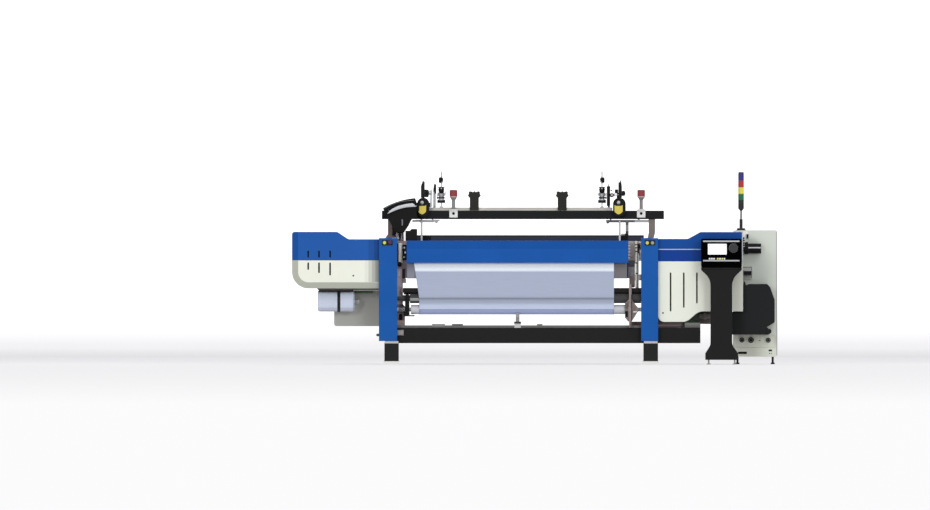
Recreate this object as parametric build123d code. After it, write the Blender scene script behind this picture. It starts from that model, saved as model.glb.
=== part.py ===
from build123d import *
import math
import os

# A rapier weaving loom, seen from its cloth side. Millimetres, X to the right, Y to the back, Z up.
# The origin is on the floor, under the middle of the overall box.

# Front posts and panel
FOOT_SOLE_TOP = 234.0
POST_FRONT = -800.0
POST_DEPTH = 85.0
LEFT_POST_X = (-1558.0, -1375.0)
RIGHT_POST_X = (1064.0, 1235.0)
POST_Z = (FOOT_SOLE_TOP, 1264.0)
SHEET = 3.0
PANEL_X = (-1282.0, 936.0)
PANEL_Z = (1016.0, 1239.0)
PANEL_FRONT = -780.0
PANEL_DEPTH = 28.0

# Push buttons: place, cap radius and travel
BUTTON_STAND_OUT = 14.0
BUTTON_TRAVEL = 4.0
BUTTON_RUNNING_GAP = 0.5
BUTTON_SPOTS = {
    "left_start_button": (-1502.0, 1218.0, 17.0),
    "left_stop_button": (-1447.0, 1222.0, 19.0),
    "right_start_button": (1126.0, 1216.0, 17.0),
    "right_stop_button": (1178.0, 1216.0, 17.0),
}
SWITCH_PLATE = 4.0
SWITCH_PLATE_MARGIN = 12.0

# Pads, feet and cross members
PAD_HEIGHT = 33.0
FOOT_TOP = 213.0
LEFT_FOOT_X = (-1503.0, -1359.0)
RIGHT_FOOT_X = (1087.0, 1233.0)
FRONT_FOOT_Y = (-790.0, -600.0)
REAR_FOOT_Y = (784.0, 968.0)
BEAM_Z = (FOOT_TOP, 369.0)
FRONT_BEAM_X = (-1490.0, 1657.0)
FRONT_BEAM_Y = (-712.0, -590.0)
REAR_BEAM_X = (-1490.0, 1225.0)
REAR_BEAM_Y = (800.0, 930.0)
BEAM_WALL = 10.0
RAIL_TOP = 391.0
RAIL_Y = (-708.0, -665.0)
PROP_X = (-190.0, -152.0)
PROP_TOP = 495.0
PROP_GAP = 8.0

# Side frames
LEFT_FRAME_X = (-1500.0, -1422.0)
RIGHT_FRAME_X = (1100.0, 1182.0)
FRAME_WEB = 34.0
FRAME_RIM = 38.0
FRAME_TOP = 1262.0
FRAME_FRONT = -700.0
FRAME_BACK = 960.0
FRAME_HOLES = ((-440.0, 120.0), (-90.0, 150.0), (260.0, 150.0), (610.0, 150.0))
FRAME_HOLE_Z = 830.0

# Top beam and what stands on it
TOP_BEAM_X = (-1528.0, 1293.0)
TOP_BEAM_Y = (-60.0, 60.0)
TOP_BEAM_Z = (1450.0, 1535.0)
TOP_RAIL_X = (-1060.0, 777.0)
TOP_RAIL_Y = (-25.0, 25.0)
TOP_RAIL_TOP = 1567.0
CROWN_SPOTS = (-604.0, 275.0)
CROWN_WIDTH = 112.0
CROWN_EAR_WIDTH = 131.0
CROWN_STEM_WIDTH = 90.0
LAMP_SPOTS = (-812.0, 1065.0)
LAMP_RADIUS = 39.5
LAMP_STEM_RADIUS = 17.0
LAMP_Z = (1669.0, 1741.0)
HOUSING_X = {"left": (-1175.0, -1055.0), "right": (783.0, 910.0)}
HOUSING_Z = (1469.0, 1664.0)
HOUSING_DEPTH = 70.0

# Selvedge thread guides and spools: place, and the side on which the eyelet stands out
SPOOL_PLACES = {"left": (-934.0, 1.0), "right": (673.0, -1.0)}
GUIDE_ROD_RADIUS = 5.0
SPOOL_Z = (1706.0, 1773.0)
SPOOL_RADIUS = 34.0

# Weft selector
SELECTOR_FRONT = -236.0
SELECTOR_HOOD_BACK = -190.0
FINGER_PIVOT_Z = 1302.0
FINGER_PIN_RADIUS = 5.0
FINGER_SPOTS = (-1366.0, -1330.0)
FINGER_Y = (-136.0, -126.0)

# Cloth take-up
CLOTH_X = (-1207.0, 793.0)
CLOTH_SLANT = 51.0
CLOTH_FACE = -744.0
CLOTH_GAUGE = 3.0
CREASE_Z = 662.0
BREAST_BEAM_X = (-1277.0, 923.0)
BREAST_BEAM_Z = (860.0, 1108.0)
BREAST_BEND_Z = 933.0
TAKE_UP_RADIUS = 48.5
TAKE_UP_Z = 660.5
TAKE_UP_Y = -690.0
TAKE_UP_X = (-1247.0, 1063.0)
ROLL_RADIUS = 50.0
ROLL_Z = 549.5
ROLL_Y = -690.0
ROLLER_X = (-1238.0, 904.0)
ROLLER_RADIUS = 47.0
ROLLER_GAP = 1.5
GUDGEON_RADIUS = 20.0
BEARING_GAP = 0.06
PRESS_BEAM_X = (-1316.0, 1100.0)
PRESS_BEAM_Z = (716.0, 765.0)
CLOTH_PATH = [
    (CLOTH_FACE, ROLL_Z),
    (CLOTH_FACE, BREAST_BEND_Z),
    (CLOTH_FACE + 32, BREAST_BEND_Z + 85),
    (CLOTH_FACE + 90, BREAST_BEAM_Z[1] + 6),
    (-430.0, 1190.0),
]

# Sley and reed
ROCKER_Y = -300.0
ROCKER_Z = 660.0
ROCKER_RADIUS = 32.0
REED_X = (-1180.0, 1061.0)
REED_CAP_Z = (1228.0, 1291.0)
REED_CAP_REACH = 31.0
REED_FOOT_Z = 1165.0
REED_DENTS = 110
REED_DENT_THICKNESS = 7.0
REED_GROOVE_Y = (ROCKER_Y - 6.0, ROCKER_Y + 12.0)

# Castings beside the cloth
GEAR_CASE_Y = (-600.0, -500.0)
LEVER_ROD_Y = (-774.0, -754.0)

# Back rest roller
BACK_REST_Y = 880.0
BACK_REST_Z = 1100.0
BACK_REST_RADIUS = 72.0
BACK_REST_GUDGEON = 30.0

# Rapiers and their wheels
RAPIER_Y = -400.0
RAPIER_Z = 1215.0
RAPIER_RADIUS = 11.0
GUIDE_Z = (1196.0, 1234.0)
WHEEL_RADIUS = 212.0
WHEEL_TO_RAPIER = 1.5
WHEEL_TO_FRAME = {"left": 288.0, "right": 296.0}
WHEEL_SPOTS = {
    "left": LEFT_FRAME_X[0] - WHEEL_TO_FRAME["left"] - WHEEL_RADIUS,
    "right": RIGHT_FRAME_X[1] + WHEEL_TO_FRAME["right"] + WHEEL_RADIUS,
}
WHEEL_Z = RAPIER_Z - RAPIER_RADIUS - WHEEL_TO_RAPIER - WHEEL_RADIUS
LEFT_RAPIER_X = (-2415.0, -1205.0)
RIGHT_RAPIER_X = (890.0, 2070.0)
SHAFT_RADIUS = 25.0

# Left covers, motor and guard
LEFT_COVER_X = (-2427.0, -1558.0)
LEFT_COVER_Y = (-760.0, -370.0)
LEFT_SPLIT_Z = 1042.0
WHEEL_TO_COVER = 18.5
LEFT_BOTTOM_Z = WHEEL_Z - WHEEL_RADIUS - WHEEL_TO_COVER
LEFT_TOP_Z = 1325.0
LEFT_STEP_Z = 1251.0
COVER_SHEET = 4.0
COVER_BEVEL = 62.0
DRIVE_PLATE_Y = (-370.0, -312.0)
MOTOR_X = (-2171.0, -1802.0)
MOTOR_RADIUS = 107.0
MOTOR_TO_COVER = 18.0
MOTOR_Z = LEFT_BOTTOM_Z - MOTOR_TO_COVER - MOTOR_RADIUS
MOTOR_Y = -470.0
MOTOR_PLATE = 17.0
MOTOR_SEAT = 10.0
MOTOR_SHAFT_RADIUS = 17.0
GUARD_X = (-2006.0, LEFT_FRAME_X[0])
GUARD_TO_COVER = 20.0
GUARD_Z = (381.0, LEFT_BOTTOM_Z - GUARD_TO_COVER)
GUARD_Y = (-330.0, -190.0)

# Right covers
RIGHT_COVER_X = (1235.0, 2083.0)
RIGHT_COVER_Y = (-740.0, -370.0)
RIGHT_SPLIT_Z = 1032.0
RIGHT_TOP_Z = 1324.0
RIGHT_STEP_Z = 1255.0

# Control column and head
COLUMN_Y = (-930.0, -790.0)
COLUMN_FOOT = 47.0
HEAD_X = (1664.0, 2071.0)
HEAD_Y = (-950.0, -770.0)
HEAD_Z = (971.0, 1258.0)
DIAL_SPOT = (1987.0, 1165.0)
DIAL_RADIUS = 40.0

# Cabinet, shedding box and signal tower
CABINET_X = (1983.0, 2427.0)
CABINET_Y = (-140.0, 460.0)
CABINET_Z = (75.0, 1338.0)
DOBBY_X = (1975.0, 2400.0)
DOBBY_Y = (-600.0, CABINET_Y[0])
DOBBY_TIE = 15.0
DRIVE_PLATE_END = DOBBY_X[0] - DOBBY_TIE
BEAM_TIE_Y = (-700.0, -640.0)
TOWER_SPOT = (2063.5, 60.0)
TOWER_RADIUS = 29.5


# Basic shapes

def block(x, y, z):
    """A rectangular block from three (low, high) pairs."""
    middle = Pos(sum(x) / 2, sum(y) / 2, sum(z) / 2)
    return middle * Box(x[1] - x[0], y[1] - y[0], z[1] - z[0])


def rod_x(x, y, z, radius):
    """A round bar along X between a (low, high) pair."""
    return Pos(sum(x) / 2, y, z) * Rot(0, 90, 0) * Cylinder(radius, x[1] - x[0])


def rod_y(x, y, z, radius):
    """A round bar along Y between a (low, high) pair."""
    return Pos(x, sum(y) / 2, z) * Rot(90, 0, 0) * Cylinder(radius, y[1] - y[0])


def rod_z(x, y, z, radius):
    """A round bar along Z between a (low, high) pair."""
    return Pos(x, y, sum(z) / 2) * Cylinder(radius, z[1] - z[0])


def rounded_face(points, rounds):
    """A flat outline, with corner radii given by the index of each rounded point."""
    face = make_face(Polyline(*points, close=True))
    for index, radius in rounds.items():
        u, v = points[index]
        corner = face.vertices().sort_by_distance((u, v, 0))[0]
        face = fillet(corner, radius)
    return face


def slab_y(face, y):
    """A face drawn in X and Z, made thick between a (low, high) pair of Y."""
    return extrude(Plane.XZ.offset(-y[1]) * face, amount=y[1] - y[0])


def slab_x(face, x):
    """A face drawn in Y and Z, made thick between a (low, high) pair of X."""
    return extrude(Plane.YZ.offset(x[0]) * face, amount=x[1] - x[0])


def slab_z(face, z):
    """A face drawn in X and Y, made thick between a (low, high) pair of Z."""
    return extrude(Plane.XY.offset(z[0]) * face, amount=z[1] - z[0])


def inset(pair, amount):
    """A (low, high) pair, drawn in by an amount at both ends."""
    return (pair[0] + amount, pair[1] - amount)


def slot_cut(x, z, width, y):
    """A vertical slot with round ends, cut through a range of Y."""
    length = z[1] - z[0]
    face = Pos(x, sum(z) / 2) * SlotOverall(length, width, rotation=90)
    return slab_y(face, y)


def open_back_shell(solid, gauge):
    """A folded sheet box: the solid hollowed out and left open at its back."""
    back = solid.faces().sort_by(Axis.Y)[-1]
    return offset(solid, amount=-gauge, openings=[back])


# Pads, feet and cross members

def machine_pads():
    """Light pads under the four feet."""
    pads = []
    for x in (LEFT_FOOT_X, RIGHT_FOOT_X):
        for y in (FRONT_FOOT_Y, REAR_FOOT_Y):
            pad = block(inset(x, -6), inset(y, -6), (0, PAD_HEIGHT))
            pads.append(chamfer(pad.edges().group_by(Axis.Z)[-1], 5))
    return pads


def frame_feet():
    """Cast block feet, the front ones with a pale sole bar that carries the post."""
    feet = []
    for x in (LEFT_FOOT_X, RIGHT_FOOT_X):
        front = block(x, FRONT_FOOT_Y, (PAD_HEIGHT, FOOT_TOP))
        front = fillet(front.edges().filter_by(Axis.Z), 8)
        sole_y = (FRONT_FOOT_Y[0] + 4, FRONT_BEAM_Y[0])
        front += block(inset(x, 4), sole_y, (FOOT_TOP - 5, FOOT_SOLE_TOP))
        feet.append(front)
        rear = block(x, REAR_FOOT_Y, (PAD_HEIGHT, FOOT_TOP))
        feet.append(fillet(rear.edges().filter_by(Axis.Z), 8))
    return feet


def box_beam(x, y, z):
    """A square tube along X with rounded corners and an open bore."""
    solid = block(x, y, z)
    solid = fillet(solid.edges().filter_by(Axis.X), 9)
    return solid - block(inset(x, -1), inset(y, BEAM_WALL), inset(z, BEAM_WALL))


def front_crossbeam():
    """The front tube with its welded rail, clips and the prop for the cloth roller."""
    beam = box_beam(FRONT_BEAM_X, FRONT_BEAM_Y, BEAM_Z)
    rail_x = (LEFT_POST_X[1], RIGHT_POST_X[0])
    beam += block(rail_x, RAIL_Y, (BEAM_Z[1] - 2, RAIL_TOP))
    for clip in ((-827, -717), (23, 78)):
        beam += block(clip, inset(RAIL_Y, 8), (RAIL_TOP - 2, RAIL_TOP + 14))
    beam += roller_prop()
    low = LEFT_POST_X[1] + 3
    bracket_y = (FRONT_BEAM_Y[0] - 23, FRONT_BEAM_Y[0] + 2)
    beam += block((low, low + 57), bracket_y, (BEAM_Z[0] + 84, BEAM_Z[0] + 125))
    return [beam]


def roller_prop():
    """The prop under the cloth roll: a base, a flange, a narrow neck and a saddle with a running gap."""
    start = BEAM_Z[1] - 2
    prop = block(PROP_X, RAIL_Y, (start, PROP_TOP - 20))
    prop += block(inset(PROP_X, -13), inset(RAIL_Y, -4), (start, RAIL_TOP + 17))
    prop += block(inset(PROP_X, -16), inset(RAIL_Y, -7), (RAIL_TOP + 17, RAIL_TOP + 37))
    saddle = block(PROP_X, (ROLL_Y - 48, ROLL_Y + 48), (PROP_TOP - 28, PROP_TOP + 18))
    saddle -= rod_x(inset(PROP_X, -5), ROLL_Y, ROLL_Z, ROLL_RADIUS + PROP_GAP)
    return prop + saddle


def rear_crossbeam():
    """The rear tube between the side frames."""
    return [box_beam(REAR_BEAM_X, REAR_BEAM_Y, BEAM_Z)]


def side_frame(x):
    """A cast side frame: a web with windows inside a thick rim, and a saddle for the top beam's post."""
    outline = [
        (FRAME_FRONT, BEAM_Z[1]),
        (FRAME_FRONT + 150, BEAM_Z[1]),
        (FRAME_FRONT + 230, 520),
        (FRAME_BACK - 250, 520),
        (FRAME_BACK - 170, BEAM_Z[1]),
        (FRAME_BACK - 30, BEAM_Z[1]),
        (FRAME_BACK, 1000),
        (FRAME_BACK - 60, 1190),
        (200, FRAME_TOP),
        (-200, FRAME_TOP),
        (-225, 1140),
        (-520, 1140),
        (-560, FRAME_TOP - 40),
        (FRAME_FRONT, FRAME_TOP - 40),
    ]
    rounds = {2: 60, 3: 60, 6: 60, 7: 90, 10: 20, 11: 20, 13: 40}
    face = rounded_face(outline, rounds)
    core = offset(face, amount=-FRAME_RIM, kind=Kind.INTERSECTION)
    middle = sum(x) / 2
    web_x = (middle - FRAME_WEB / 2, middle + FRAME_WEB / 2)
    frame = slab_x(face, x) - slab_x(core, x) + slab_x(core, web_x)
    for y, radius in FRAME_HOLES:
        frame += rod_x(x, y, FRAME_HOLE_Z, radius + 26)
        frame -= rod_x(inset(x, -5), y, FRAME_HOLE_Z, radius)
    frame += rod_x(x, ROCKER_Y, ROCKER_Z, ROCKER_RADIUS + 34)
    for y, z, radius in shaft_bores():
        frame += rod_x(x, y, z, radius + 24)
        frame -= rod_x(inset(x, -5), y, z, radius + BEARING_GAP)
    return [frame]


def shaft_bores():
    """Where shafts run in both side frames: place in Y and Z, and shaft radius."""
    return [
        (ROCKER_Y, ROCKER_Z, ROCKER_RADIUS),
        (BACK_REST_Y, BACK_REST_Z, BACK_REST_GUDGEON),
        (TAKE_UP_Y, TAKE_UP_Z, GUDGEON_RADIUS),
        (ROLL_Y, ROLL_Z, GUDGEON_RADIUS),
    ]


# Top beam, rail and what they carry

def top_beam():
    """The black box beam above the loom."""
    return [box_beam(TOP_BEAM_X, TOP_BEAM_Y, TOP_BEAM_Z)]


def top_rail():
    """The pale slide rail on the top beam, with a groove along its front."""
    rail = block(TOP_RAIL_X, TOP_RAIL_Y, (TOP_BEAM_Z[1], TOP_RAIL_TOP))
    rail = fillet(rail.edges().filter_by(Axis.X), 3)
    groove = block(inset(TOP_RAIL_X, -5), (TOP_RAIL_Y[0] - 5, TOP_RAIL_Y[0] + 6), (1547, 1555))
    return [rail - groove]


def beam_posts():
    """Posts that carry the top beam on the side frames: a waisted bar on a spread foot."""
    start, end = FRAME_TOP, TOP_BEAM_Z[0]
    left = [(32, end), (92, end), (92, start + 38), (115, start + 26), (115, start), (6, start),
            (32, start + 38)]
    right = [(40, end), (104, end), (104, start + 54), (90, start), (30, start), (40, start + 54)]
    posts = []
    sides = ((LEFT_FRAME_X, left, {2: 12, 6: 12}), (RIGHT_FRAME_X, right, {2: 12, 5: 12}))
    for frame_x, points, rounds in sides:
        placed = [(frame_x[0] + u, v) for u, v in points]
        posts.append(slab_y(rounded_face(placed, rounds), inset(TOP_BEAM_Y, 15)))
    return posts


def crown_brackets():
    """Brackets on the rail, each with a scalloped crown above a rounded stem."""
    brackets = []
    top, ears, stem_top, base = 1731, 1686, 1662, 1540
    for x in CROWN_SPOTS:
        half, ear, stem = CROWN_WIDTH / 2, CROWN_EAR_WIDTH / 2, CROWN_STEM_WIDTH / 2
        outline = [
            (x - half, top - 8), (x - half, ears + 14), (x - ear, ears), (x - stem, stem_top),
            (x - stem, base), (x + stem, base), (x + stem, stem_top), (x + ear, ears),
            (x + half, ears + 14), (x + half, top - 8), (x + half - 14, top - 2),
            (x + 12, top - 10), (x, top), (x - 12, top - 10), (x - half + 14, top - 2),
        ]
        face = rounded_face(outline, {2: 8, 3: 14, 6: 14, 7: 8})
        bracket = slab_y(face, (TOP_RAIL_Y[0] - 14, TOP_RAIL_Y[0]))
        shelf = slab_y(rounded_face(outline[2:8], {}), (TOP_RAIL_Y[0] - 5, TOP_RAIL_Y[1]))
        bracket += shelf - block((x - 80, x + 80), TOP_RAIL_Y, (base - 5, TOP_RAIL_TOP))
        brackets.append(bracket)
    return brackets


def lamp_stands():
    """A square plate with a hole on the beam's face, a stem behind it and a neck for the lamp."""
    stands = []
    for x in LAMP_SPOTS:
        plate_face = Pos(x, 1507.5) * RectangleRounded(84, 83, 5) - Pos(x, 1504) * Circle(12)
        stand = slab_y(plate_face, (TOP_BEAM_Y[0] - 5, TOP_BEAM_Y[0]))
        stem_y = TOP_BEAM_Y[0] - 14
        stand += block((x - 26, x + 26), (TOP_BEAM_Y[0] - 28, TOP_BEAM_Y[0]), (1535, 1555))
        stand += rod_z(x, stem_y, (1550, 1644), LAMP_STEM_RADIUS)
        stand += Pos(x, stem_y, 1655) * Cone(LAMP_STEM_RADIUS + 1, LAMP_RADIUS - 6.5, 28)
        stands.append(stand)
    return stands


def warning_lamps():
    """Red lamp drums with a shallow recess on top."""
    lamps = []
    stem_y = TOP_BEAM_Y[0] - 14
    for x in LAMP_SPOTS:
        lamp = rod_z(x, stem_y, LAMP_Z, LAMP_RADIUS)
        lamp = fillet(lamp.edges(), 3)
        lamps.append(lamp - rod_z(x, stem_y, (LAMP_Z[1] - 6, LAMP_Z[1] + 5), LAMP_RADIUS - 8))
    return lamps


def tensioner_housings():
    """Upright housings with round ends, a bolt head and a shield-shaped plate on the front."""
    housings = []
    front = TOP_BEAM_Y[0] - HOUSING_DEPTH
    for side, label in (("left", (-1166, -1086)), ("right", (798, 880))):
        x = HOUSING_X[side]
        middle, width = sum(x) / 2, x[1] - x[0]
        height = HOUSING_Z[1] - HOUSING_Z[0]
        face = Pos(middle, sum(HOUSING_Z) / 2) * RectangleRounded(width, height, width / 2 - 2)
        housing = slab_y(face, (front, TOP_BEAM_Y[0]))
        housing = fillet(housing.faces().sort_by(Axis.Y)[0].edges(), 10)
        low, high = 1490, 1592
        half = (label[1] - label[0]) / 2
        at = sum(label) / 2
        shield = [(at - half, high), (at - half + 14, high - 9), (at + half - 14, high - 9),
                  (at + half, high), (at + half, low + 34), (at, low), (at - half, low + 34)]
        plate = slab_y(rounded_face(shield, {5: 30, 4: 20, 6: 20}), (front - 2, front + 2))
        bolt = rod_y(at, (front - 11, front + 2), 1617, 17)
        housing += plate
        housing += chamfer(bolt.edges().group_by(Axis.Y)[0], 3)
        housings.append(housing)
    return housings


def selvedge_blades():
    """Upright blades beside the housings, tapering to a narrow tip."""
    blades = []
    foot_z = {True: HOUSING_Z[1], False: TOP_RAIL_TOP}
    places = ((-1138, -1103, 1839, True), (-1014, -991, 1805, False),
              (841, 872, 1839, True), (732, 752, 1801, False))
    for low, high, tip, on_housing in places:
        base = foot_z[on_housing]
        y = TOP_BEAM_Y[0] - HOUSING_DEPTH / 2 if on_housing else 0
        neck = tip - 60
        outline = [(low, base), (high, base), (high, neck), (high - 9, tip), (high - 15, tip), (low, neck)]
        blade = slab_y(rounded_face(outline, {2: 6, 5: 6}), (y - 5, y + 5))
        if on_housing:
            blade += rod_y((low + high) / 2 + 30, (y - 24, y + 10), base + 51, 20)
            blade += block((low, high + 30), (y - 5, y + 5), (base + 20, base + 60))
        blades.append(blade)
    return blades


def thread_guides():
    """Thin upright rods with a gear stack low down and an eyelet guide near the top."""
    guides = []
    for x, hand in SPOOL_PLACES.values():
        guide = rod_z(x, 0, (TOP_RAIL_TOP, 1925), GUIDE_ROD_RADIUS)
        guide += rod_z(x, 0, (TOP_RAIL_TOP, TOP_RAIL_TOP + 10), 16)
        guide += rod_z(x, 0, (1612, 1640), 40)
        guide += rod_z(x, 0, (1640, 1682), 26)
        guide += rod_z(x, 0, (1682, SPOOL_Z[0] - 1), 36)
        guide += slab_y(Pos(x - 4 * hand, 1840) * RectangleRounded(43, 56, 12), (-7, 7))
        guide -= rod_y(x - 12 * hand, (-20, 20), 1852, 6)
        guides.append(guide)
    return guides


def leno_spool(side):
    """A small flanged spool that turns on the guide rod."""
    x = SPOOL_PLACES[side][0]
    spool = rod_z(x, 0, SPOOL_Z, SPOOL_RADIUS)
    waist_z = inset(SPOOL_Z, 9)
    spool -= rod_z(x, 0, waist_z, SPOOL_RADIUS + 5) - rod_z(x, 0, waist_z, SPOOL_RADIUS - 12)
    spool = fillet(spool.edges().group_by(Axis.Z)[-1], 6)
    return [spool - rod_z(x, 0, inset(SPOOL_Z, -5), GUIDE_ROD_RADIUS + BEARING_GAP)]


def hook_bars():
    """Bars under the top beam with end hooks and the thin rods that hang from them."""
    top = TOP_BEAM_Z[0]
    y = (-50.0, -26.0)
    middle = sum(y) / 2
    left = block((-1224, -966), y, (1423, 1440))
    left += rod_z(-1132, middle, (1436, top), 9) + rod_z(-1020, middle, (1436, top), 7)
    left += rod_z(-1132, middle, (1250, 1430), 8)
    left += rod_y(-983, (y[0] - 4, y[1] + 4), 1424, 15)
    right = block((721, 1140), y, (1417, 1440))
    right += rod_z(760, middle, (1436, top), 7) + rod_z(1040, middle, (1436, top), 9)
    right += rod_y(731, (y[0] - 4, y[1] + 4), 1420, 15)
    right += rod_z(850, middle, (1245, 1430), 9) + rod_z(924, middle, (1281, 1430), 15)
    right += block((863, 933), (middle - 20, middle + 20), (1246, 1306))
    right += block((839, 870), (middle - 7, middle + 7), (1270, 1290))
    return [left, right]


# Weft selector

def selector_hood():
    """The curved hood of the weft selector with a raised plate along its front."""
    top = ThreePointArc((-1517, 1560), (-1370, 1626), (-1195, 1661))
    end = Line((-1195, 1661), (-1172, 1589))
    bottom = ThreePointArc((-1172, 1589), (-1340, 1580), (-1500, 1515))
    back = Line((-1500, 1515), (-1517, 1560))
    hood = slab_y(make_face([top, end, bottom, back]), (SELECTOR_FRONT, SELECTOR_HOOD_BACK))
    hood = fillet(hood.faces().sort_by(Axis.Y)[0].edges(), 6)
    points = [(-1471, 1530), (-1340, 1594), (-1222, 1630), (-1192, 1602), (-1300, 1590), (-1400, 1560)]
    plate_y = (SELECTOR_FRONT - 3, SELECTOR_FRONT + 3)
    return [hood + slab_y(rounded_face(points, {1: 200, 2: 8, 3: 8}), plate_y)]


def selector_body():
    """The selector's body: a wide top that narrows to a funnel, with cheeks for the finger pins."""
    outline = [(-1496, 1500), (-1400, 1588), (-1190, 1620), (-1172, 1451), (-1230, 1451),
               (-1262, 1385), (-1304, 1320), (-1390, 1320), (-1465, 1451)]
    face = rounded_face(outline, {0: 20, 1: 60, 2: 12, 4: 20, 5: 60, 8: 20})
    body = slab_y(face, (SELECTOR_HOOD_BACK, TOP_BEAM_Y[0]))
    body = body - block((-1330, -1318), (SELECTOR_HOOD_BACK - 1, SELECTOR_HOOD_BACK + 8), (1390, 1450))
    for y in ((FINGER_Y[0] - 14, FINGER_Y[0] - 4), (FINGER_Y[1] + 4, FINGER_Y[1] + 14)):
        body += block((-1386, -1310), y, (FINGER_PIVOT_Z - 12, 1326))
    for x in FINGER_SPOTS:
        body -= rod_y(x, inset(FINGER_Y, -30), FINGER_PIVOT_Z, FINGER_PIN_RADIUS + BEARING_GAP)
    return [body]


def selector_finger(x):
    """A weft finger that swings on its pin and ends in an eyelet."""
    finger = block((x - 5, x + 5), FINGER_Y, (1250, FINGER_PIVOT_Z))
    finger += rod_y(x, FINGER_Y, FINGER_PIVOT_Z, 9)
    finger += rod_y(x, FINGER_Y, 1248, 10)
    finger += rod_y(x, (FINGER_Y[0] - 14, FINGER_Y[1] + 14), FINGER_PIVOT_Z, FINGER_PIN_RADIUS)
    return [finger - rod_y(x, inset(FINGER_Y, -5), 1247, 4)]


def cutter_box():
    """The weft cutter's drive box beside the selvedge."""
    outline = [(-1293, 1236), (-1175, 1236), (-1175, 1354), (-1232, 1354), (-1250, 1336), (-1293, 1336)]
    return [slab_y(rounded_face(outline, {2: 8, 3: 6, 5: 8}), (-560, -450))]


# Front posts, buttons and panel

def post_cover(x, buttons, dark_plate_x):
    """A folded sheet post cover, open at the back, with a switch plate and holes for its buttons."""
    y = (POST_FRONT, POST_FRONT + POST_DEPTH)
    solid = block(x, y, POST_Z)
    front_edges = solid.edges().group_by(Axis.Y)[0]
    solid = fillet(front_edges, 7)
    cover = open_back_shell(solid, SHEET)
    plate_width = dark_plate_x[1] - dark_plate_x[0]
    plate_face = Pos(sum(dark_plate_x) / 2, 1217) * RectangleRounded(plate_width, 54, 8)
    cover += slab_y(plate_face, (POST_FRONT - SWITCH_PLATE, POST_FRONT + 1))
    for name in buttons:
        bx, bz, radius = BUTTON_SPOTS[name]
        hole = radius - 5 + BUTTON_RUNNING_GAP
        cover -= rod_y(bx, (POST_FRONT - 10, POST_FRONT + 10), bz, hole)
    return [cover]


def push_button(name):
    """A domed cap on a stem that slides through the switch plate."""
    x, z, radius = BUTTON_SPOTS[name]
    cap_back = POST_FRONT - SWITCH_PLATE - BUTTON_TRAVEL - 1
    cap = rod_y(x, (cap_back - BUTTON_STAND_OUT, cap_back), z, radius)
    cap = fillet(cap.edges().group_by(Axis.Y)[0], 6)
    stem = rod_y(x, (cap_back - 2, POST_FRONT + 22), z, radius - 5)
    collar = rod_y(x, (POST_FRONT + SHEET + 4, POST_FRONT + 14), z, radius + 2)
    return [cap + stem + collar]


def front_panel():
    """The long folded front panel with returned top and bottom edges."""
    y = (PANEL_FRONT, PANEL_FRONT + PANEL_DEPTH)
    solid = block(PANEL_X, y, PANEL_Z)
    solid = fillet(solid.edges().group_by(Axis.Y)[0], 6)
    return [open_back_shell(solid, SHEET)]


# Sley and reed

def sley():
    """The sley: a rocking shaft, three swords and the beam that holds the reed."""
    shaft_x = (LEFT_FRAME_X[0] + 4, RIGHT_FRAME_X[1] - 4)
    body = rod_x(shaft_x, ROCKER_Y, ROCKER_Z, ROCKER_RADIUS)
    beam_x = (REED_X[0] - 40, REED_X[1] - 10)
    beam = block(beam_x, (ROCKER_Y - 45, ROCKER_Y + 55), (1090, REED_FOOT_Z))
    beam = chamfer(beam.edges().filter_by(Axis.X).group_by(Axis.Z)[0], 18)
    groove = block(inset(beam_x, -5), REED_GROOVE_Y, (REED_FOOT_Z - 22, REED_FOOT_Z + 5))
    body += beam - groove
    profile = [(ROCKER_Y - 48, ROCKER_Z), (ROCKER_Y + 48, ROCKER_Z), (ROCKER_Y + 30, 1100),
               (ROCKER_Y - 30, 1100)]
    for x in (REED_X[0] + 180, -159, REED_X[1] - 381):
        sword = slab_x(rounded_face(profile, {}), (x - 22, x + 22))
        sword += rod_x((x - 34, x + 34), ROCKER_Y, ROCKER_Z, 52)
        body += sword
    return [body]


def reed():
    """The reed: a foot, a cap and upright dents between them, cut as one piece."""
    thick = REED_GROOVE_Y
    foot = block(REED_X, thick, (REED_FOOT_Z - 22, REED_FOOT_Z + 6))
    cap = block((REED_X[0], REED_X[1] + REED_CAP_REACH), inset(thick, -3), REED_CAP_Z)
    body = foot + cap
    pitch = (REED_X[1] - REED_X[0] - REED_DENT_THICKNESS) / (REED_DENTS - 1)
    dents = []
    for number in range(REED_DENTS):
        x = REED_X[0] + number * pitch
        dent_z = (REED_FOOT_Z + 4, REED_CAP_Z[0] + 2)
        dents.append(block((x, x + REED_DENT_THICKNESS), inset(thick, 4), dent_z))
    return [body + dents]


# Cloth and its rollers

def strip_face(points, gauge):
    """A strip of even gauge behind a line of (u, v) points, mitred at each bend."""
    inner = []
    count = len(points)
    for index, (u, v) in enumerate(points):
        before = points[max(index - 1, 0)]
        after = points[min(index + 1, count - 1)]
        sides = []
        for start, end in ((before, (u, v)), ((u, v), after)):
            length = math.dist(start, end)
            if length > 0:
                sides.append((-(end[1] - start[1]) / length, (end[0] - start[0]) / length))
        nu = sum(side[0] for side in sides) / len(sides)
        nv = sum(side[1] for side in sides) / len(sides)
        scale = gauge / (nu * nu + nv * nv)
        inner.append((u + nu * scale, v + nv * scale))
    return make_face(Polyline(*points, *reversed(inner), close=True))


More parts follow.
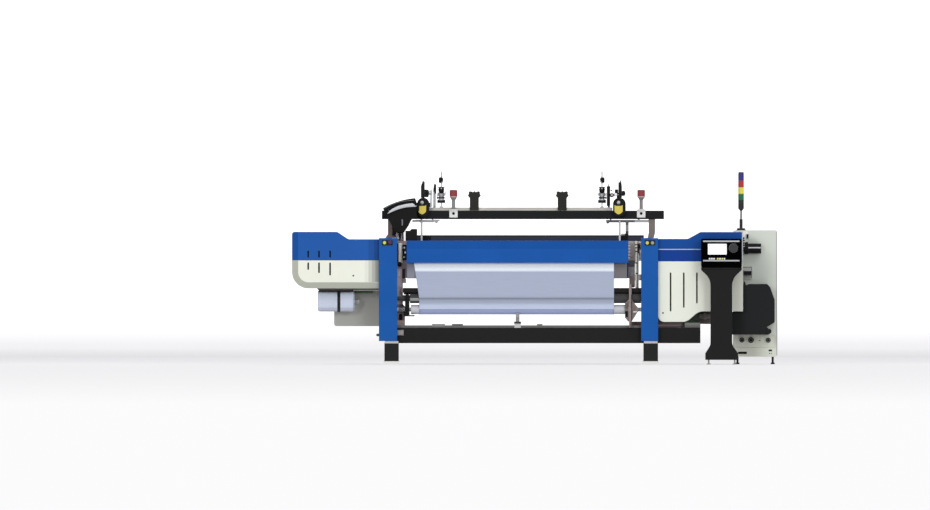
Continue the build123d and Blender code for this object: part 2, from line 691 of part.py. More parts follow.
def breast_beam():
    """The grey breast beam: a hollow section with a sloping shoulder for the cloth."""
    face_y = CLOTH_FACE + CLOTH_GAUGE
    outline = [
        (face_y, BREAST_BEAM_Z[0]), (face_y, BREAST_BEND_Z - 3), (face_y + 33.5, BREAST_BEND_Z + 82),
        (face_y + 88, 1095), (face_y + 141, 1095), (face_y + 141, BREAST_BEAM_Z[0]),
    ]
    face = rounded_face(outline, {0: 6, 4: 12, 5: 12})
    beam = slab_x(face, BREAST_BEAM_X)
    core = rounded_face([(face_y + 12, 872), (face_y + 12, 926), (face_y + 46, 1012), (face_y + 94, 1083),
                         (face_y + 129, 1083), (face_y + 129, 872)], {})
    return [beam - slab_x(core, inset(BREAST_BEAM_X, -1))]


def cloth_sheet():
    """The woven cloth from the fell over the breast beam to the roll, its left edge drawn in."""
    face = strip_face([(u, v) for u, v in CLOTH_PATH], -CLOTH_GAUGE)
    sheet = slab_x(face, CLOTH_X)
    low = CLOTH_X[0] + CLOTH_SLANT
    wedge = [(CLOTH_X[0] - 5, PANEL_Z[0] - 4), (CLOTH_X[0], PANEL_Z[0] - 4), (low, CREASE_Z),
             (low, 500), (CLOTH_X[0] - 5, 500)]
    sheet -= slab_y(rounded_face(wedge, {}), (CLOTH_FACE - 20, CLOTH_FACE + 120))
    return [sheet]


def cloth_roll():
    """The wound cloth on its roller."""
    x = (CLOTH_X[0] + CLOTH_SLANT, CLOTH_X[1])
    roll = rod_x(x, ROLL_Y, ROLL_Z, ROLL_RADIUS)
    return [roll - rod_x(inset(x, -5), ROLL_Y, ROLL_Z, ROLLER_RADIUS)]


def gudgeon_x():
    """Roller gudgeons end inside both side frames."""
    return (LEFT_FRAME_X[0] + 10, RIGHT_FRAME_X[1] - 10)


def cloth_roller():
    """The bright steel cloth roller with its gudgeons."""
    roller = rod_x(ROLLER_X, ROLL_Y, ROLL_Z, ROLLER_RADIUS)
    roller = chamfer(roller.edges(), 3)
    return [roller + rod_x(gudgeon_x(), ROLL_Y, ROLL_Z, GUDGEON_RADIUS)]


def take_up_roller():
    """The dark take-up roller with its gudgeons."""
    roller = rod_x(TAKE_UP_X, TAKE_UP_Y, TAKE_UP_Z, TAKE_UP_RADIUS)
    roller = chamfer(roller.edges(), 2)
    return [roller + rod_x(gudgeon_x(), TAKE_UP_Y, TAKE_UP_Z, GUDGEON_RADIUS)]


def back_rest_roller():
    """The back rest roller behind the loom."""
    x = (LEFT_FRAME_X[1] + 12, RIGHT_FRAME_X[0] - 12)
    roller = rod_x(x, BACK_REST_Y, BACK_REST_Z, BACK_REST_RADIUS)
    roller = chamfer(roller.edges(), 3)
    return [roller + rod_x(gudgeon_x(), BACK_REST_Y, BACK_REST_Z, BACK_REST_GUDGEON)]


def press_beam():
    """The black beam above the take-up roller."""
    beam = block(PRESS_BEAM_X, (-713, -645), PRESS_BEAM_Z)
    return [fillet(beam.edges().filter_by(Axis.X), 6)]


def left_gear_case():
    """The left inner casting with its stepped sides, ribs, a bright rod and the roller bracket."""
    inner = LEFT_FRAME_X[1]
    front = GEAR_CASE_Y[0]
    edge = BREAST_BEAM_X[0]
    outline = [(inner, BEAM_Z[1]), (edge - 20, BEAM_Z[1]), (edge - 20, 580), (edge - 41, 600),
               (edge - 41, 855), (edge, BREAST_BEAM_Z[0] + 5), (edge, 1236), (inner, 1236)]
    case = slab_y(rounded_face(outline, {2: 14, 3: 14, 4: 8}), GEAR_CASE_Y)
    for z in (660, 770, 880):
        case += block((-1377, -1326), (front - 12, front + 2), (z, z + 26))
    for z, half in ((1080, 22), (1150, 16), (1205, 12)):
        case += block((-1322, -1284), (front - 25, front + 2), (z - half, z + half))
    case += rod_z(-1348, front - 14, (1022, 1214), 15)
    case += block((-1366, -1330), (front - 25, front + 2), (990, 1024))
    case += rod_y(-1332, (front - 14, front + 2), 556, 28)
    bracket_face = [(edge - 20, 492), (edge - 20, 700), (edge + 25, 700), (edge + 25, 492)]
    bracket = slab_y(rounded_face(bracket_face, {1: 16, 2: 16}), (-738, front + 4))
    bracket += block((edge - 20, edge + 76), (-738, front + 4), (481, 493))
    for y, z in ((TAKE_UP_Y, TAKE_UP_Z), (ROLL_Y, ROLL_Z)):
        bracket -= rod_x((edge - 25, edge + 30), y, z, GUDGEON_RADIUS + 4)
    bracket += block((edge - 53, edge - 15), (front, front + 40), (500, 560))
    case += block((-1330, PRESS_BEAM_X[0]), (front - 80, front + 2), inset(PRESS_BEAM_Z, 5))
    case += block((-1300, -1240), (PANEL_FRONT + PANEL_DEPTH + 2, front + 4), (1110, 1160))
    case += block((-1276, -1240), (PANEL_FRONT + SHEET, PANEL_FRONT + 35), (1110, 1160))
    case += block((-1375, -1330), (-502, RAPIER_Y + 16), GUIDE_Z)
    case -= rod_x((-1380, -1325), RAPIER_Y, RAPIER_Z, RAPIER_RADIUS + BEARING_GAP)
    return [case + bracket]


def right_gear_case():
    """The right inner castings: a stepped plate, a bright strip, and a lever with its rod and foot."""
    inner = RIGHT_FRAME_X[0]
    y = (GEAR_CASE_Y[0], GEAR_CASE_Y[0] + 60)
    edge = BREAST_BEAM_X[1]
    outline = [(edge - 8, 1204), (edge + 80, 1204), (edge + 80, 772), (edge + 22, 764),
               (edge + 22, 862), (edge - 8, 862)]
    case = slab_y(rounded_face(outline, {2: 10, 3: 10}), y)
    case += block((edge + 76, inner), y, (840, 900)) + block((edge + 76, inner), y, (1160, 1204))
    case += block((edge + 84, edge + 118), (y[0] - 12, y[1]), (748, 1204))
    case += block((edge + 78, edge + 86), y, (1010, 1040))
    for z, radius in ((1090, 18), (1010, 24), (900, 20)):
        case += rod_y(edge + 46, (y[0] - 12, y[0] + 2), z, radius)
    rod_sides = (edge + 20, edge + 47)
    case += block(rod_sides, LEVER_ROD_Y, (BEAM_Z[1], 800))
    case += block(rod_sides, (LEVER_ROD_Y[0], y[0] + 2), (PRESS_BEAM_Z[1] + 5, 800))
    case += block(rod_sides, (LEVER_ROD_Y[0], RAIL_Y[0]), (BEAM_Z[1], RAIL_TOP))
    lever = [(edge - 20, 615), (edge + 32, 666), (edge + 124, 551), (edge + 47, 430),
             (edge + 12, 430), (edge - 20, 468)]
    lever_y = (LEVER_ROD_Y[1] - 2, LEVER_ROD_Y[1] + 8)
    case += slab_y(rounded_face(lever, {1: 16, 2: 12, 3: 10}), lever_y)
    for u, v, radius in ((34, 640, 20), (100, 551, 20), (30, 552, 26), (34, 452, 16)):
        case += rod_y(edge + u, (LEVER_ROD_Y[0] - 4, LEVER_ROD_Y[1]), v, radius)
    case += block((960, inner), (y[0] - 40, y[1]), (BEAM_Z[1], 428))
    case += block((905, 1000), y, (1160, 1204))
    case += block((905, 930), (PANEL_FRONT + SHEET, y[0] + 4), (1160, 1204))
    case += block((1004, 1028), (y[1] - 4, RAPIER_Y + 16), GUIDE_Z)
    case += block((1004, 1028), y, (1190, GUIDE_Z[1]))
    case -= rod_x((1000, 1035), RAPIER_Y, RAPIER_Z, RAPIER_RADIUS + BEARING_GAP)
    return [case]


# Left covers and drive

def left_upper_solid(gauge):
    """The left upper cover's outer form, or the hollow inside it when a gauge is given."""
    low, high = LEFT_COVER_X
    past = 5 if gauge else 0
    lean = 0.3 * gauge
    low_z = LEFT_SPLIT_Z - past
    outline = [(low + gauge, low_z), (low + gauge, LEFT_TOP_Z - gauge), (-1974 - lean, LEFT_TOP_Z - gauge),
               (-1862 - lean, LEFT_STEP_Z - gauge), (high + past, LEFT_STEP_Z - gauge), (high + past, low_z)]
    face = rounded_face(outline, {1: 26 - gauge, 2: 40, 3: 40})
    return slab_y(face, (LEFT_COVER_Y[0] + gauge, LEFT_COVER_Y[1] + past))


def end_bevel(gauge):
    """What the bevel takes off the upper cover's left front corner, level with the lower cover's bevel."""
    low, front = LEFT_COVER_X[0] + gauge, LEFT_COVER_Y[0] + gauge
    corner = [(low - 20, front - 20), (low + COVER_BEVEL, front - 20), (low + COVER_BEVEL, front),
              (low, front + COVER_BEVEL / 2), (low - 20, front + COVER_BEVEL / 2)]
    return slab_z(make_face(Polyline(*corner, close=True)), (LEFT_SPLIT_Z - 10, LEFT_TOP_Z + 10))


def left_upper_cover():
    """The blue upper cover: a folded shell with a stepped top, a bevelled end and three slots."""
    solid = left_upper_solid(0)
    front = solid.faces().sort_by(Axis.Y)[0].edges()
    upper = [edge for edge in front if edge.center().Z > LEFT_SPLIT_Z + 5]
    rim = [edge for edge in upper if edge.center().X < LEFT_COVER_X[1] - 1]
    cover = fillet(rim, 10) - end_bevel(0)
    cover -= left_upper_solid(COVER_SHEET) - end_bevel(COVER_SHEET)
    for x in (-2265, -2157, -2046):
        cover -= slot_cut(x, (1069, 1139), 16, (LEFT_COVER_Y[0] - 5, LEFT_COVER_Y[0] + 20))
    return [cover]


def left_lower_solid(gauge):
    """The left lower cover's outer form with its wide bevel, or the hollow inside it."""
    low, high = LEFT_COVER_X
    past = 5 if gauge else 0
    top = LEFT_SPLIT_Z + past
    bottom = LEFT_BOTTOM_Z + gauge
    outline = [(low + gauge, top), (low + gauge, bottom), (high + past, bottom), (high + past, top)]
    face = rounded_face(outline, {1: 165 - gauge})
    solid = slab_y(face, (LEFT_COVER_Y[0] + gauge, LEFT_COVER_Y[1] + past))
    front = solid.faces().sort_by(Axis.Y)[0]
    rim = [edge for edge in front.edges() if edge.center().Z < top - 5 and edge.center().X < high - 20]
    return chamfer(rim, COVER_BEVEL, COVER_BEVEL / 2, reference=front)


def left_lower_cover():
    """The white lower cover: a shell with a wide bevel at its left and bottom, and three slots."""
    cover = left_lower_solid(0) - left_lower_solid(COVER_SHEET)
    for x, bottom in ((-2265, 946), (-2157, 914), (-2046, 890)):
        cover -= slot_cut(x, (bottom, 1020), 16, (LEFT_COVER_Y[0] - 5, LEFT_COVER_Y[0] + 20))
    return [cover]


def rapier_wheel(side):
    """A spoked wheel that drives the rapier, on a short shaft."""
    x, z = WHEEL_SPOTS[side], WHEEL_Z
    y = (RAPIER_Y - 15, RAPIER_Y + 15)
    wheel = rod_y(x, y, z, WHEEL_RADIUS)
    wheel = chamfer(wheel.edges(), 3)
    for turn in range(6):
        angle = math.radians(60 * turn)
        reach = 0.6 * WHEEL_RADIUS
        hole_x, hole_z = x + reach * math.cos(angle), z + reach * math.sin(angle)
        wheel -= rod_y(hole_x, inset(y, -5), hole_z, 0.217 * WHEEL_RADIUS)
    wheel += rod_y(x, (y[0] - 12, y[1] + 8), z, 48)
    return [wheel + rod_y(x, (y[0] - 30, DRIVE_PLATE_Y[1] - 6), z, SHAFT_RADIUS)]


def rapier(x, hand):
    """A rapier rod with a gripper head at its inner end."""
    rod = rod_x(x, RAPIER_Y, RAPIER_Z, RAPIER_RADIUS)
    head_end = x[1] if hand > 0 else x[0]
    head_x = (head_end - 110, head_end) if hand > 0 else (head_end, head_end + 110)
    head = block(head_x, (RAPIER_Y - 13, RAPIER_Y + 13), (RAPIER_Z - 9, RAPIER_Z + 17))
    tip = head.edges().filter_by(Axis.Y).group_by(Axis.X)[-1 if hand > 0 else 0]
    return [rod + chamfer(tip, 11)]


def left_drive_casting():
    """The casting behind the left covers, with the rapier wheel's bearing and the motor's seat."""
    x, low_z, end = WHEEL_SPOTS["left"], MOTOR_Z + MOTOR_RADIUS, LEFT_FRAME_X[0]
    outline = [(x - 180, low_z), (end, low_z), (end, 1120), (x + 120, 1120), (x - 180, 1060)]
    casting = slab_y(rounded_face(outline, {0: 30, 3: 60, 4: 60}), DRIVE_PLATE_Y)
    casting -= rod_y(x, inset(DRIVE_PLATE_Y, -5), WHEEL_Z, SHAFT_RADIUS + BEARING_GAP)
    seat_x = (MOTOR_X[0] + 7, MOTOR_X[1] - 18)
    return [casting + block(seat_x, (MOTOR_Y - 90, DRIVE_PLATE_Y[0]), (low_z, low_z + MOTOR_SEAT))]


def right_drive_casting():
    """The casting behind the right covers, with shaft housings that show below them."""
    x, start, end = WHEEL_SPOTS["right"], RIGHT_FRAME_X[1], DRIVE_PLATE_END
    tie, low_z = FRONT_BEAM_X[1], BEAM_Z[1] - 9
    outline = [(start, low_z), (tie, low_z), (tie, 404), (tie + 240, 400), (tie + 262, 452), (end, 452),
               (end, 1100), (start, 1120)]
    casting = slab_y(rounded_face(outline, {3: 12, 6: 60}), DRIVE_PLATE_Y)
    casting -= rod_y(x, inset(DRIVE_PLATE_Y, -5), WHEEL_Z, SHAFT_RADIUS + BEARING_GAP)
    front = DRIVE_PLATE_Y[0] + 2
    casting += rod_x((1236, 1480), front - 60, 403, 18) + block((1236, 1480), (front - 60, front), (392, 414))
    casting += rod_x((1646, 1760), front - 56, 482, 24) + block((1646, 1760), (front - 56, front), (470, 494))
    casting += rod_x((1690, 1716), front - 56, 482, 34)
    casting += block((tie - 157, tie), (BEAM_TIE_Y[0], front), (BEAM_Z[1], 418))
    return [casting]


def drive_motor():
    """The drive motor: a ribbed barrel with bevelled ends, a strap and a top plate."""
    low, high = MOTOR_X
    top = MOTOR_Z + MOTOR_RADIUS
    barrel = rod_x(MOTOR_X, MOTOR_Y, MOTOR_Z, MOTOR_RADIUS)
    barrel = chamfer(barrel.edges(), 16)
    strap_x = (low + 199, low + 225)
    strap = rod_x(strap_x, MOTOR_Y, MOTOR_Z, MOTOR_RADIUS + 5)
    strap += block(strap_x, (MOTOR_Y - 30, MOTOR_Y + 30), (MOTOR_Z, top))
    plate = block((low + 11, high - 22), (MOTOR_Y - 80, MOTOR_Y + 80), (top - MOTOR_PLATE, top))
    motor = barrel + strap + plate
    motor -= block(inset(MOTOR_X, -30), (MOTOR_Y - 200, MOTOR_Y + 200), (top, top + 60))
    return [motor - rod_x((high - 28, high + 7), MOTOR_Y, MOTOR_Z, MOTOR_SHAFT_RADIUS + BEARING_GAP)]


def motor_shaft():
    """The motor's shaft and the small belt pulley on it."""
    end = MOTOR_X[1]
    shaft = rod_x((end - 26, end + 48), MOTOR_Y, MOTOR_Z, MOTOR_SHAFT_RADIUS)
    pulley = rod_x((end + 12, end + 45), MOTOR_Y, MOTOR_Z, MOTOR_SHAFT_RADIUS + 9)
    for x in (end + 20, end + 28, end + 36):
        groove_x = (x - 2, x + 2)
        pulley -= rod_x(groove_x, MOTOR_Y, MOTOR_Z, MOTOR_SHAFT_RADIUS + 10)
    return [shaft + pulley]


def belt_guard():
    """The grey lower guard beside the motor, a folded box with a small control on its edge."""
    solid = block(GUARD_X, GUARD_Y, GUARD_Z)
    solid = fillet(solid.edges().filter_by(Axis.Y).group_by(Axis.Z)[0], 24)
    solid = fillet(solid.faces().sort_by(Axis.Y)[0].edges(), 6)
    guard = open_back_shell(solid, COVER_SHEET)
    guard += block((-1802, -1620), (GUARD_Y[0] - 26, GUARD_Y[0] + 1), inset((GUARD_Z[1] - 30, GUARD_Z[1]), 1))
    return [guard]


# Right covers

def right_upper_solid(gauge):
    """The right upper cover's outer form, or the hollow inside it when a gauge is given."""
    low, high = RIGHT_COVER_X
    past = 5 if gauge else 0
    lean = 0.3 * gauge
    low_z = RIGHT_SPLIT_Z - past
    outline = [(low - past, low_z), (low - past, RIGHT_STEP_Z - gauge), (1532 + lean, RIGHT_STEP_Z - gauge),
               (1657 + lean, RIGHT_TOP_Z - gauge), (high - gauge, RIGHT_TOP_Z - gauge), (high - gauge, low_z)]
    face = rounded_face(outline, {2: 40, 3: 40, 4: 26 - gauge})
    return slab_y(face, (RIGHT_COVER_Y[0] + gauge, RIGHT_COVER_Y[1] + past))


def right_upper_cover():
    """The blue upper cover with a stepped top and a shallow step across its lower half."""
    solid = right_upper_solid(0)
    front = solid.faces().sort_by(Axis.Y)[0].edges()
    upper = [edge for edge in front if edge.center().Z > RIGHT_SPLIT_Z + 5]
    rim = [edge for edge in upper if edge.center().X > RIGHT_COVER_X[0] + 1]
    cover = fillet(rim, 10) - right_upper_solid(COVER_SHEET)
    step_x = (RIGHT_COVER_X[0] - 1, 1668)
    cover -= block(step_x, (RIGHT_COVER_Y[0] - 5, RIGHT_COVER_Y[0] + 1.5), (RIGHT_SPLIT_Z, 1143))
    return [cover]


def right_lower_solid(gauge):
    """The right lower cover's outer form, or the hollow inside it when a gauge is given."""
    low, high = RIGHT_COVER_X
    past = 5 if gauge else 0
    lean = 0.37 * gauge
    top = RIGHT_SPLIT_Z + past
    points = [(low - past, top), (low - past, 426 + gauge), (1520 - lean, 426 + gauge),
              (1640 - lean, 531 + gauge), (high - gauge, 531 + gauge), (high - gauge, top)]
    face = rounded_face(points, {1: 60, 2: 120, 3: 120})
    solid = slab_y(face, (RIGHT_COVER_Y[0] + gauge, RIGHT_COVER_Y[1] + past))
    front = solid.faces().sort_by(Axis.Y)[0]
    corner = front.edges().sort_by(Axis.X)[-1]
    return chamfer(corner, 100, 40, reference=front)


def right_lower_cover():
    """The white lower cover with an S-shaped bottom edge, a bevelled right end and three slots."""
    cover = right_lower_solid(0) - right_lower_solid(COVER_SHEET)
    for x, bottom in ((1359, 531), (1491, 568), (1622, 611)):
        cover -= slot_cut(x, (bottom, 920), 15, (RIGHT_COVER_Y[0] - 5, RIGHT_COVER_Y[0] + 20))
    return [cover]


# Control column and head

def control_column():
    """The black column: a flared base, a waisted stem and a flared top, standing on two feet."""
    low, high = HEAD_X
    outline = [(low + 42, COLUMN_FOOT), (high - 37, COLUMN_FOOT), (high - 37, 113), (high - 96, 194),
               (high - 96, 858), (high, 945), (high, HEAD_Z[0]), (low, HEAD_Z[0]), (low, 945),
               (low + 94, 858), (low + 94, 194), (low + 42, 113)]
    face = rounded_face(outline, {2: 12, 3: 90, 4: 150, 5: 20, 8: 20, 9: 150, 10: 90, 11: 12})
    column = slab_y(face, COLUMN_Y)
    front = column.faces().sort_by(Axis.Y)[0]
    column = fillet(front.edges().filter_by_position(Axis.Z, COLUMN_FOOT + 1, HEAD_Z[0] - 1), 6)
    for x in (low + 76, high - 71):
        for y in inset(COLUMN_Y, 30):
            column += rod_z(x, y, (0, 10), 20) + rod_z(x, y, (8, COLUMN_FOOT + 2), 8)
    return [column]


def control_head():
    """The black head with a screen recess, trim lines, a row of keys and a bore for the dial."""
    head = block(HEAD_X, HEAD_Y, HEAD_Z)
    head = fillet(head.edges().filter_by(Axis.Y), 14)
    head = fillet(head.faces().sort_by(Axis.Y)[0].edges(), 4)
    front = HEAD_Y[0]
    screen = block((1730, 1921), (front - 5, front + 4), (1099, 1209))
    head -= fillet(screen.edges().filter_by(Axis.Y), 5)
    for z in ((1226, 1240), (1032, 1046)):
        head += block((1684, 2048), (front - 2, front + 2), z)
    for start, count, width in ((1741, 3, 18), (1821, 4, 18)):
        for number in range(count):
            x = start + number * (width + 4)
            head += block((x, x + width), (front - 4, front + 2), (1050, 1066))
    head -= rod_y(DIAL_SPOT[0], (front - 1, front + 31), DIAL_SPOT[1], 8 + BEARING_GAP)
    head += block((1960, 2020), (HEAD_Y[1] - 2, RIGHT_COVER_Y[0]), (1180, 1230))
    return [head]


def control_dial():
    """The round selector dial on its spindle."""
    x, z = DIAL_SPOT
    front = HEAD_Y[0]
    dial = rod_y(x, (front - 24, front - 1), z, DIAL_RADIUS)
    dial = fillet(dial.edges().group_by(Axis.Y)[0], 5)
    for number in range(12):
        angle = math.radians(30 * number)
        flute = rod_y(x + 43 * math.cos(angle), (front - 30, front - 8), z + 43 * math.sin(angle), 6)
        dial -= flute
    dial -= block((x - 2.5, x + 2.5), (front - 26, front - 22), (z + 6, z + 34))
    return [dial + rod_y(x, (front - 4, front + 28), z, 8)]


# Cabinet, shedding box and signal tower

def cabinet():
    """The electrical cabinet on four levelling feet, with a recessed lower panel, slots and plugs."""
    low, high = CABINET_X
    body = block(CABINET_X, CABINET_Y, CABINET_Z)
    body = fillet(body.edges().filter_by(Axis.Y), 22)
    body = fillet(body.faces().sort_by(Axis.Y)[0].edges(), 6)
    front, floor_z = CABINET_Y[0], CABINET_Z[0]
    middle, width = (low + high) / 2 - 9, high - low - 26
    outer = Pos(middle, floor_z + 153) * RectangleRounded(width, 126, 10)
    inner = Pos(middle, floor_z + 153) * RectangleRounded(width - 10, 116, 8)
    body -= slab_y(outer - inner, (front - 5, front + 4))
    for x, radius in ((low + 89, 25), (low + 180, 29), (high - 91, 25)):
        knob = rod_y(x, (front - 26, front + 2), floor_z + 166, radius)
        body += fillet(knob.edges().group_by(Axis.Y)[0], 5)
    for x, z, length in ((low + 92, floor_z + 37, 94), (high - 70, floor_z + 62, 37)):
        slot = Pos(x, z) * SlotOverall(length, 20)
        body -= slab_y(slot, (front - 5, front + 30))
    body += rod_x((low + 107, low + 153), front - 60, 1160, 60)
    body += rod_x((low + 147, low + 282), front - 60, 1157, 50)
    body += block((low + 117, low + 217), (front - 62, front + 1), (1120, 1194))
    body += block((low + 102, low + 191), (front - 12, front + 1), (851, 975))
    body += block((low + 109, low + 183), (front - 60, front + 1), (891, 939))
    body += block((low + 135, low + 155), (front - 20, front + 1), (1258, 1305))
    body += block((low + 33, low + 128), (20, 100), (CABINET_Z[1] - 1, CABINET_Z[1] + 8))
    for x in (low + 45, high - 47):
        for y in inset(CABINET_Y, 60):
            body += rod_z(x, y, (0, 14), 20) + rod_z(x, y, (12, floor_z + 2), 11)
    return [body]


def dobby():
    """The black shedding box in front of the cabinet, shouldered at the top and hooked at the bottom."""
    low, high = DOBBY_X
    front = DOBBY_Y[0]
    outline = [(low, 297), (high - 58, 297), (high - 32, 330), (high - 80, 372), (high, 421), (high, 645),
               (high - 47, 774), (high - 77, 803), (low + 165, 803), (low + 138, 790), (low + 125, 832),
               (low + 114, 800), (low + 114, 525), (low, 525)]
    face = rounded_face(outline, {1: 14, 2: 20, 4: 12, 5: 30, 6: 30, 7: 16, 8: 20})
    box = slab_y(face, DOBBY_Y)
    box = fillet(box.faces().sort_by(Axis.Y)[0].edges(), 2.5)
    box += rod_y(high - 58, (front - 14, front + 2), 330, 26) + rod_y(high - 58, (front - 22, front), 330, 12)
    return [box + block((low - DOBBY_TIE, low + 2), inset(DRIVE_PLATE_Y, 5), (466, 512))]


def signal_tower():
    """The signal tower: a flanged stem and a stack of four coloured segments under a cap."""
    x, y = TOWER_SPOT
    base = CABINET_Z[1] + 8
    tower = rod_z(x, y, (base, base + 14), 42)
    tower += rod_z(x, y, (base + 10, 1450), 16.5) + rod_z(x, y, (1445, 1540), 8.5)
    tower += Pos(x, y, 1544) * Cone(10, TOWER_RADIUS, 24)
    levels = (1556, 1616, 1704, 1770, 1837, 1907)
    for low, high in zip(levels, levels[1:]):
        tower += rod_z(x, y, (low, high - 3), TOWER_RADIUS)
        tower += rod_z(x, y, (high - 4, high + 1), TOWER_RADIUS - 2.5)
    cap = rod_z(x, y, (1906, 1921), TOWER_RADIUS - 1)
    return [tower + fillet(cap.edges().group_by(Axis.Z)[-1], 8)]


def all_nodes():
    """Every named piece with the solids that it is made of."""
    nodes = {
        "machine_pads": machine_pads(),
        "frame_feet": frame_feet(),
        "front_crossbeam": front_crossbeam(),
        "rear_crossbeam": rear_crossbeam(),
        "left_side_frame": side_frame(LEFT_FRAME_X),
        "right_side_frame": side_frame(RIGHT_FRAME_X),
        "top_beam": top_beam(),
        "top_rail": top_rail(),
        "beam_posts": beam_posts(),
        "crown_brackets": crown_brackets(),
        "lamp_stands": lamp_stands(),
        "warning_lamps": warning_lamps(),
        "tensioner_housings": tensioner_housings(),
        "selvedge_blades": selvedge_blades(),
        "thread_guides": thread_guides(),
        "hook_bars": hook_bars(),
        "selector_hood": selector_hood(),
        "selector_body": selector_body(),
        "cutter_box": cutter_box(),
        "left_post_cover": post_cover(LEFT_POST_X, ("left_start_button", "left_stop_button"), (-1528, -1420)),
        "right_post_cover": post_cover(RIGHT_POST_X, ("right_start_button", "right_stop_button"), (1100, 1206)),
        "front_panel": front_panel(),
        "sley": sley(),
        "reed": reed(),
        "breast_beam": breast_beam(),
        "cloth_sheet": cloth_sheet(),
        "cloth_roll": cloth_roll(),
        "cloth_roller": cloth_roller(),
        "take_up_roller": take_up_roller(),
        "press_beam": press_beam(),
        "back_rest_roller": back_rest_roller(),
        "left_gear_case": left_gear_case(),
        "right_gear_case": right_gear_case(),
        "left_upper_cover": left_upper_cover(),
        "left_lower_cover": left_lower_cover(),
        "left_rapier": rapier(LEFT_RAPIER_X, 1),
        "right_rapier": rapier(RIGHT_RAPIER_X, -1),
        "left_drive_casting": left_drive_casting(),
        "right_drive_casting": right_drive_casting(),
        "drive_motor": drive_motor(),
        "motor_shaft": motor_shaft(),
        "belt_guard": belt_guard(),
        "right_upper_cover": right_upper_cover(),
        "right_lower_cover": right_lower_cover(),
        "control_column": control_column(),
        "control_head": control_head(),
        "control_dial": control_dial(),
        "cabinet": cabinet(),
        "dobby": dobby(),
        "signal_tower": signal_tower(),
    }
    for side in ("left", "right"):
        nodes[side + "_leno_spool"] = leno_spool(side)
        nodes[side + "_rapier_wheel"] = rapier_wheel(side)
    for number, x in enumerate(FINGER_SPOTS, 1):
        nodes["selector_finger_" + str(number)] = selector_finger(x)
    for name in BUTTON_SPOTS:
        nodes[name] = push_button(name)
    return nodes


os.makedirs("parts", exist_ok=True)
for node_name, solids in all_nodes().items():
    pieces = []
    for item in solids:
        pieces.extend(item.solids())
    shape = pieces[0] if len(pieces) == 1 else Compound(children=pieces)
    export_step(shape, "parts/" + node_name + ".step")
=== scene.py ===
import math

import bmesh
import bpy
import mathutils
import numpy as np
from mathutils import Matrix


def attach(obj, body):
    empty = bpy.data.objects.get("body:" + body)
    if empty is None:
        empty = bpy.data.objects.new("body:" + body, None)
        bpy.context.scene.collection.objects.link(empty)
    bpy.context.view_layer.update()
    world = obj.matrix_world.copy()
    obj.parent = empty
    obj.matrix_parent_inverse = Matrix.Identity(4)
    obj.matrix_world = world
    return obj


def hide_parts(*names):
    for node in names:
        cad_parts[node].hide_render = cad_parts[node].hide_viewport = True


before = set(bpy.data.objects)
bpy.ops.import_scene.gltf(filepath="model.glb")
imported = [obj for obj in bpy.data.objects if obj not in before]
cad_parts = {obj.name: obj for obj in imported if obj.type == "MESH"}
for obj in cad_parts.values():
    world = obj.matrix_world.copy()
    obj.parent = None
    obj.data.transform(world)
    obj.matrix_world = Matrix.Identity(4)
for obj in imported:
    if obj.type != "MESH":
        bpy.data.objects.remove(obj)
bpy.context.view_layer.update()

ROOT = "loom_frame"


# Mesh helpers

def grid_quads(rows, columns, close_rows=False, close_columns=False):
    """Quads of a rows by columns grid of points, numbered row by row, joined round where asked."""
    row_count = rows if close_rows else rows - 1
    column_count = columns if close_columns else columns - 1
    i, j = np.meshgrid(np.arange(row_count), np.arange(column_count), indexing="ij")
    up, over = (i + 1) % rows, (j + 1) % columns
    quads = np.stack([i * columns + j, up * columns + j, up * columns + over, i * columns + over], -1)
    return quads.reshape(-1, 4)


def join_forms(forms):
    """One (points, faces) pair from several, with the faces renumbered."""
    points, faces, start = [], [], 0
    for form_points, form_faces in forms:
        points.append(form_points)
        faces.extend([[int(k) + start for k in face] for face in form_faces])
        start += len(form_points)
    return np.concatenate(points), faces


def put_in(name, data):
    """A new object in the scene, with its mesh, lamp or lens."""
    made = bpy.data.objects.new(name, data)
    bpy.context.scene.collection.objects.link(made)
    return made


def fittings(name, forms, material, body=ROOT):
    """Several (points, faces) forms of one finish, in millimetres, as one piece that rides on a body."""
    points, faces = join_forms(forms)
    mesh = bpy.data.meshes.new(name)
    mesh.from_pydata((points / 1000.0).tolist(), [], faces)
    mesh.materials.append(SKINS[material])
    work = bmesh.new()
    work.from_mesh(mesh)
    bmesh.ops.recalc_face_normals(work, faces=work.faces)
    work.to_mesh(mesh)
    work.free()
    mesh.shade_smooth()
    piece = put_in(name, mesh)
    mesh.set_sharp_from_angle(angle=math.radians(40))
    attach(piece, body)


AXES = {
    "x": np.array([[0, 1, 0], [0, 0, 1], [1, 0, 0]], float),
    "y": np.array([[0, 0, 1], [1, 0, 0], [0, 1, 0]], float),
    "z": np.array([[1, 0, 0], [0, 1, 0], [0, 0, 1]], float),
}


def tube_faces(rings, sides):
    """The faces of a form made of rings of points: quads between the rings, then a face over each end."""
    last = (rings - 1) * sides
    ends = [list(range(sides)), list(range(last, last + sides))]
    return grid_quads(rings, sides, close_columns=True).tolist() + ends


def square_to(run):
    """For each direction of a line, two directions that stand square to it and to each other."""
    hint = (0.0, 1.0, 0.0) if abs(run[0][1]) < 0.9 else (1.0, 0.0, 0.0)
    side = np.cross(run, hint)
    side /= np.linalg.norm(side, axis=1)[:, None]
    return side, np.cross(run, side)


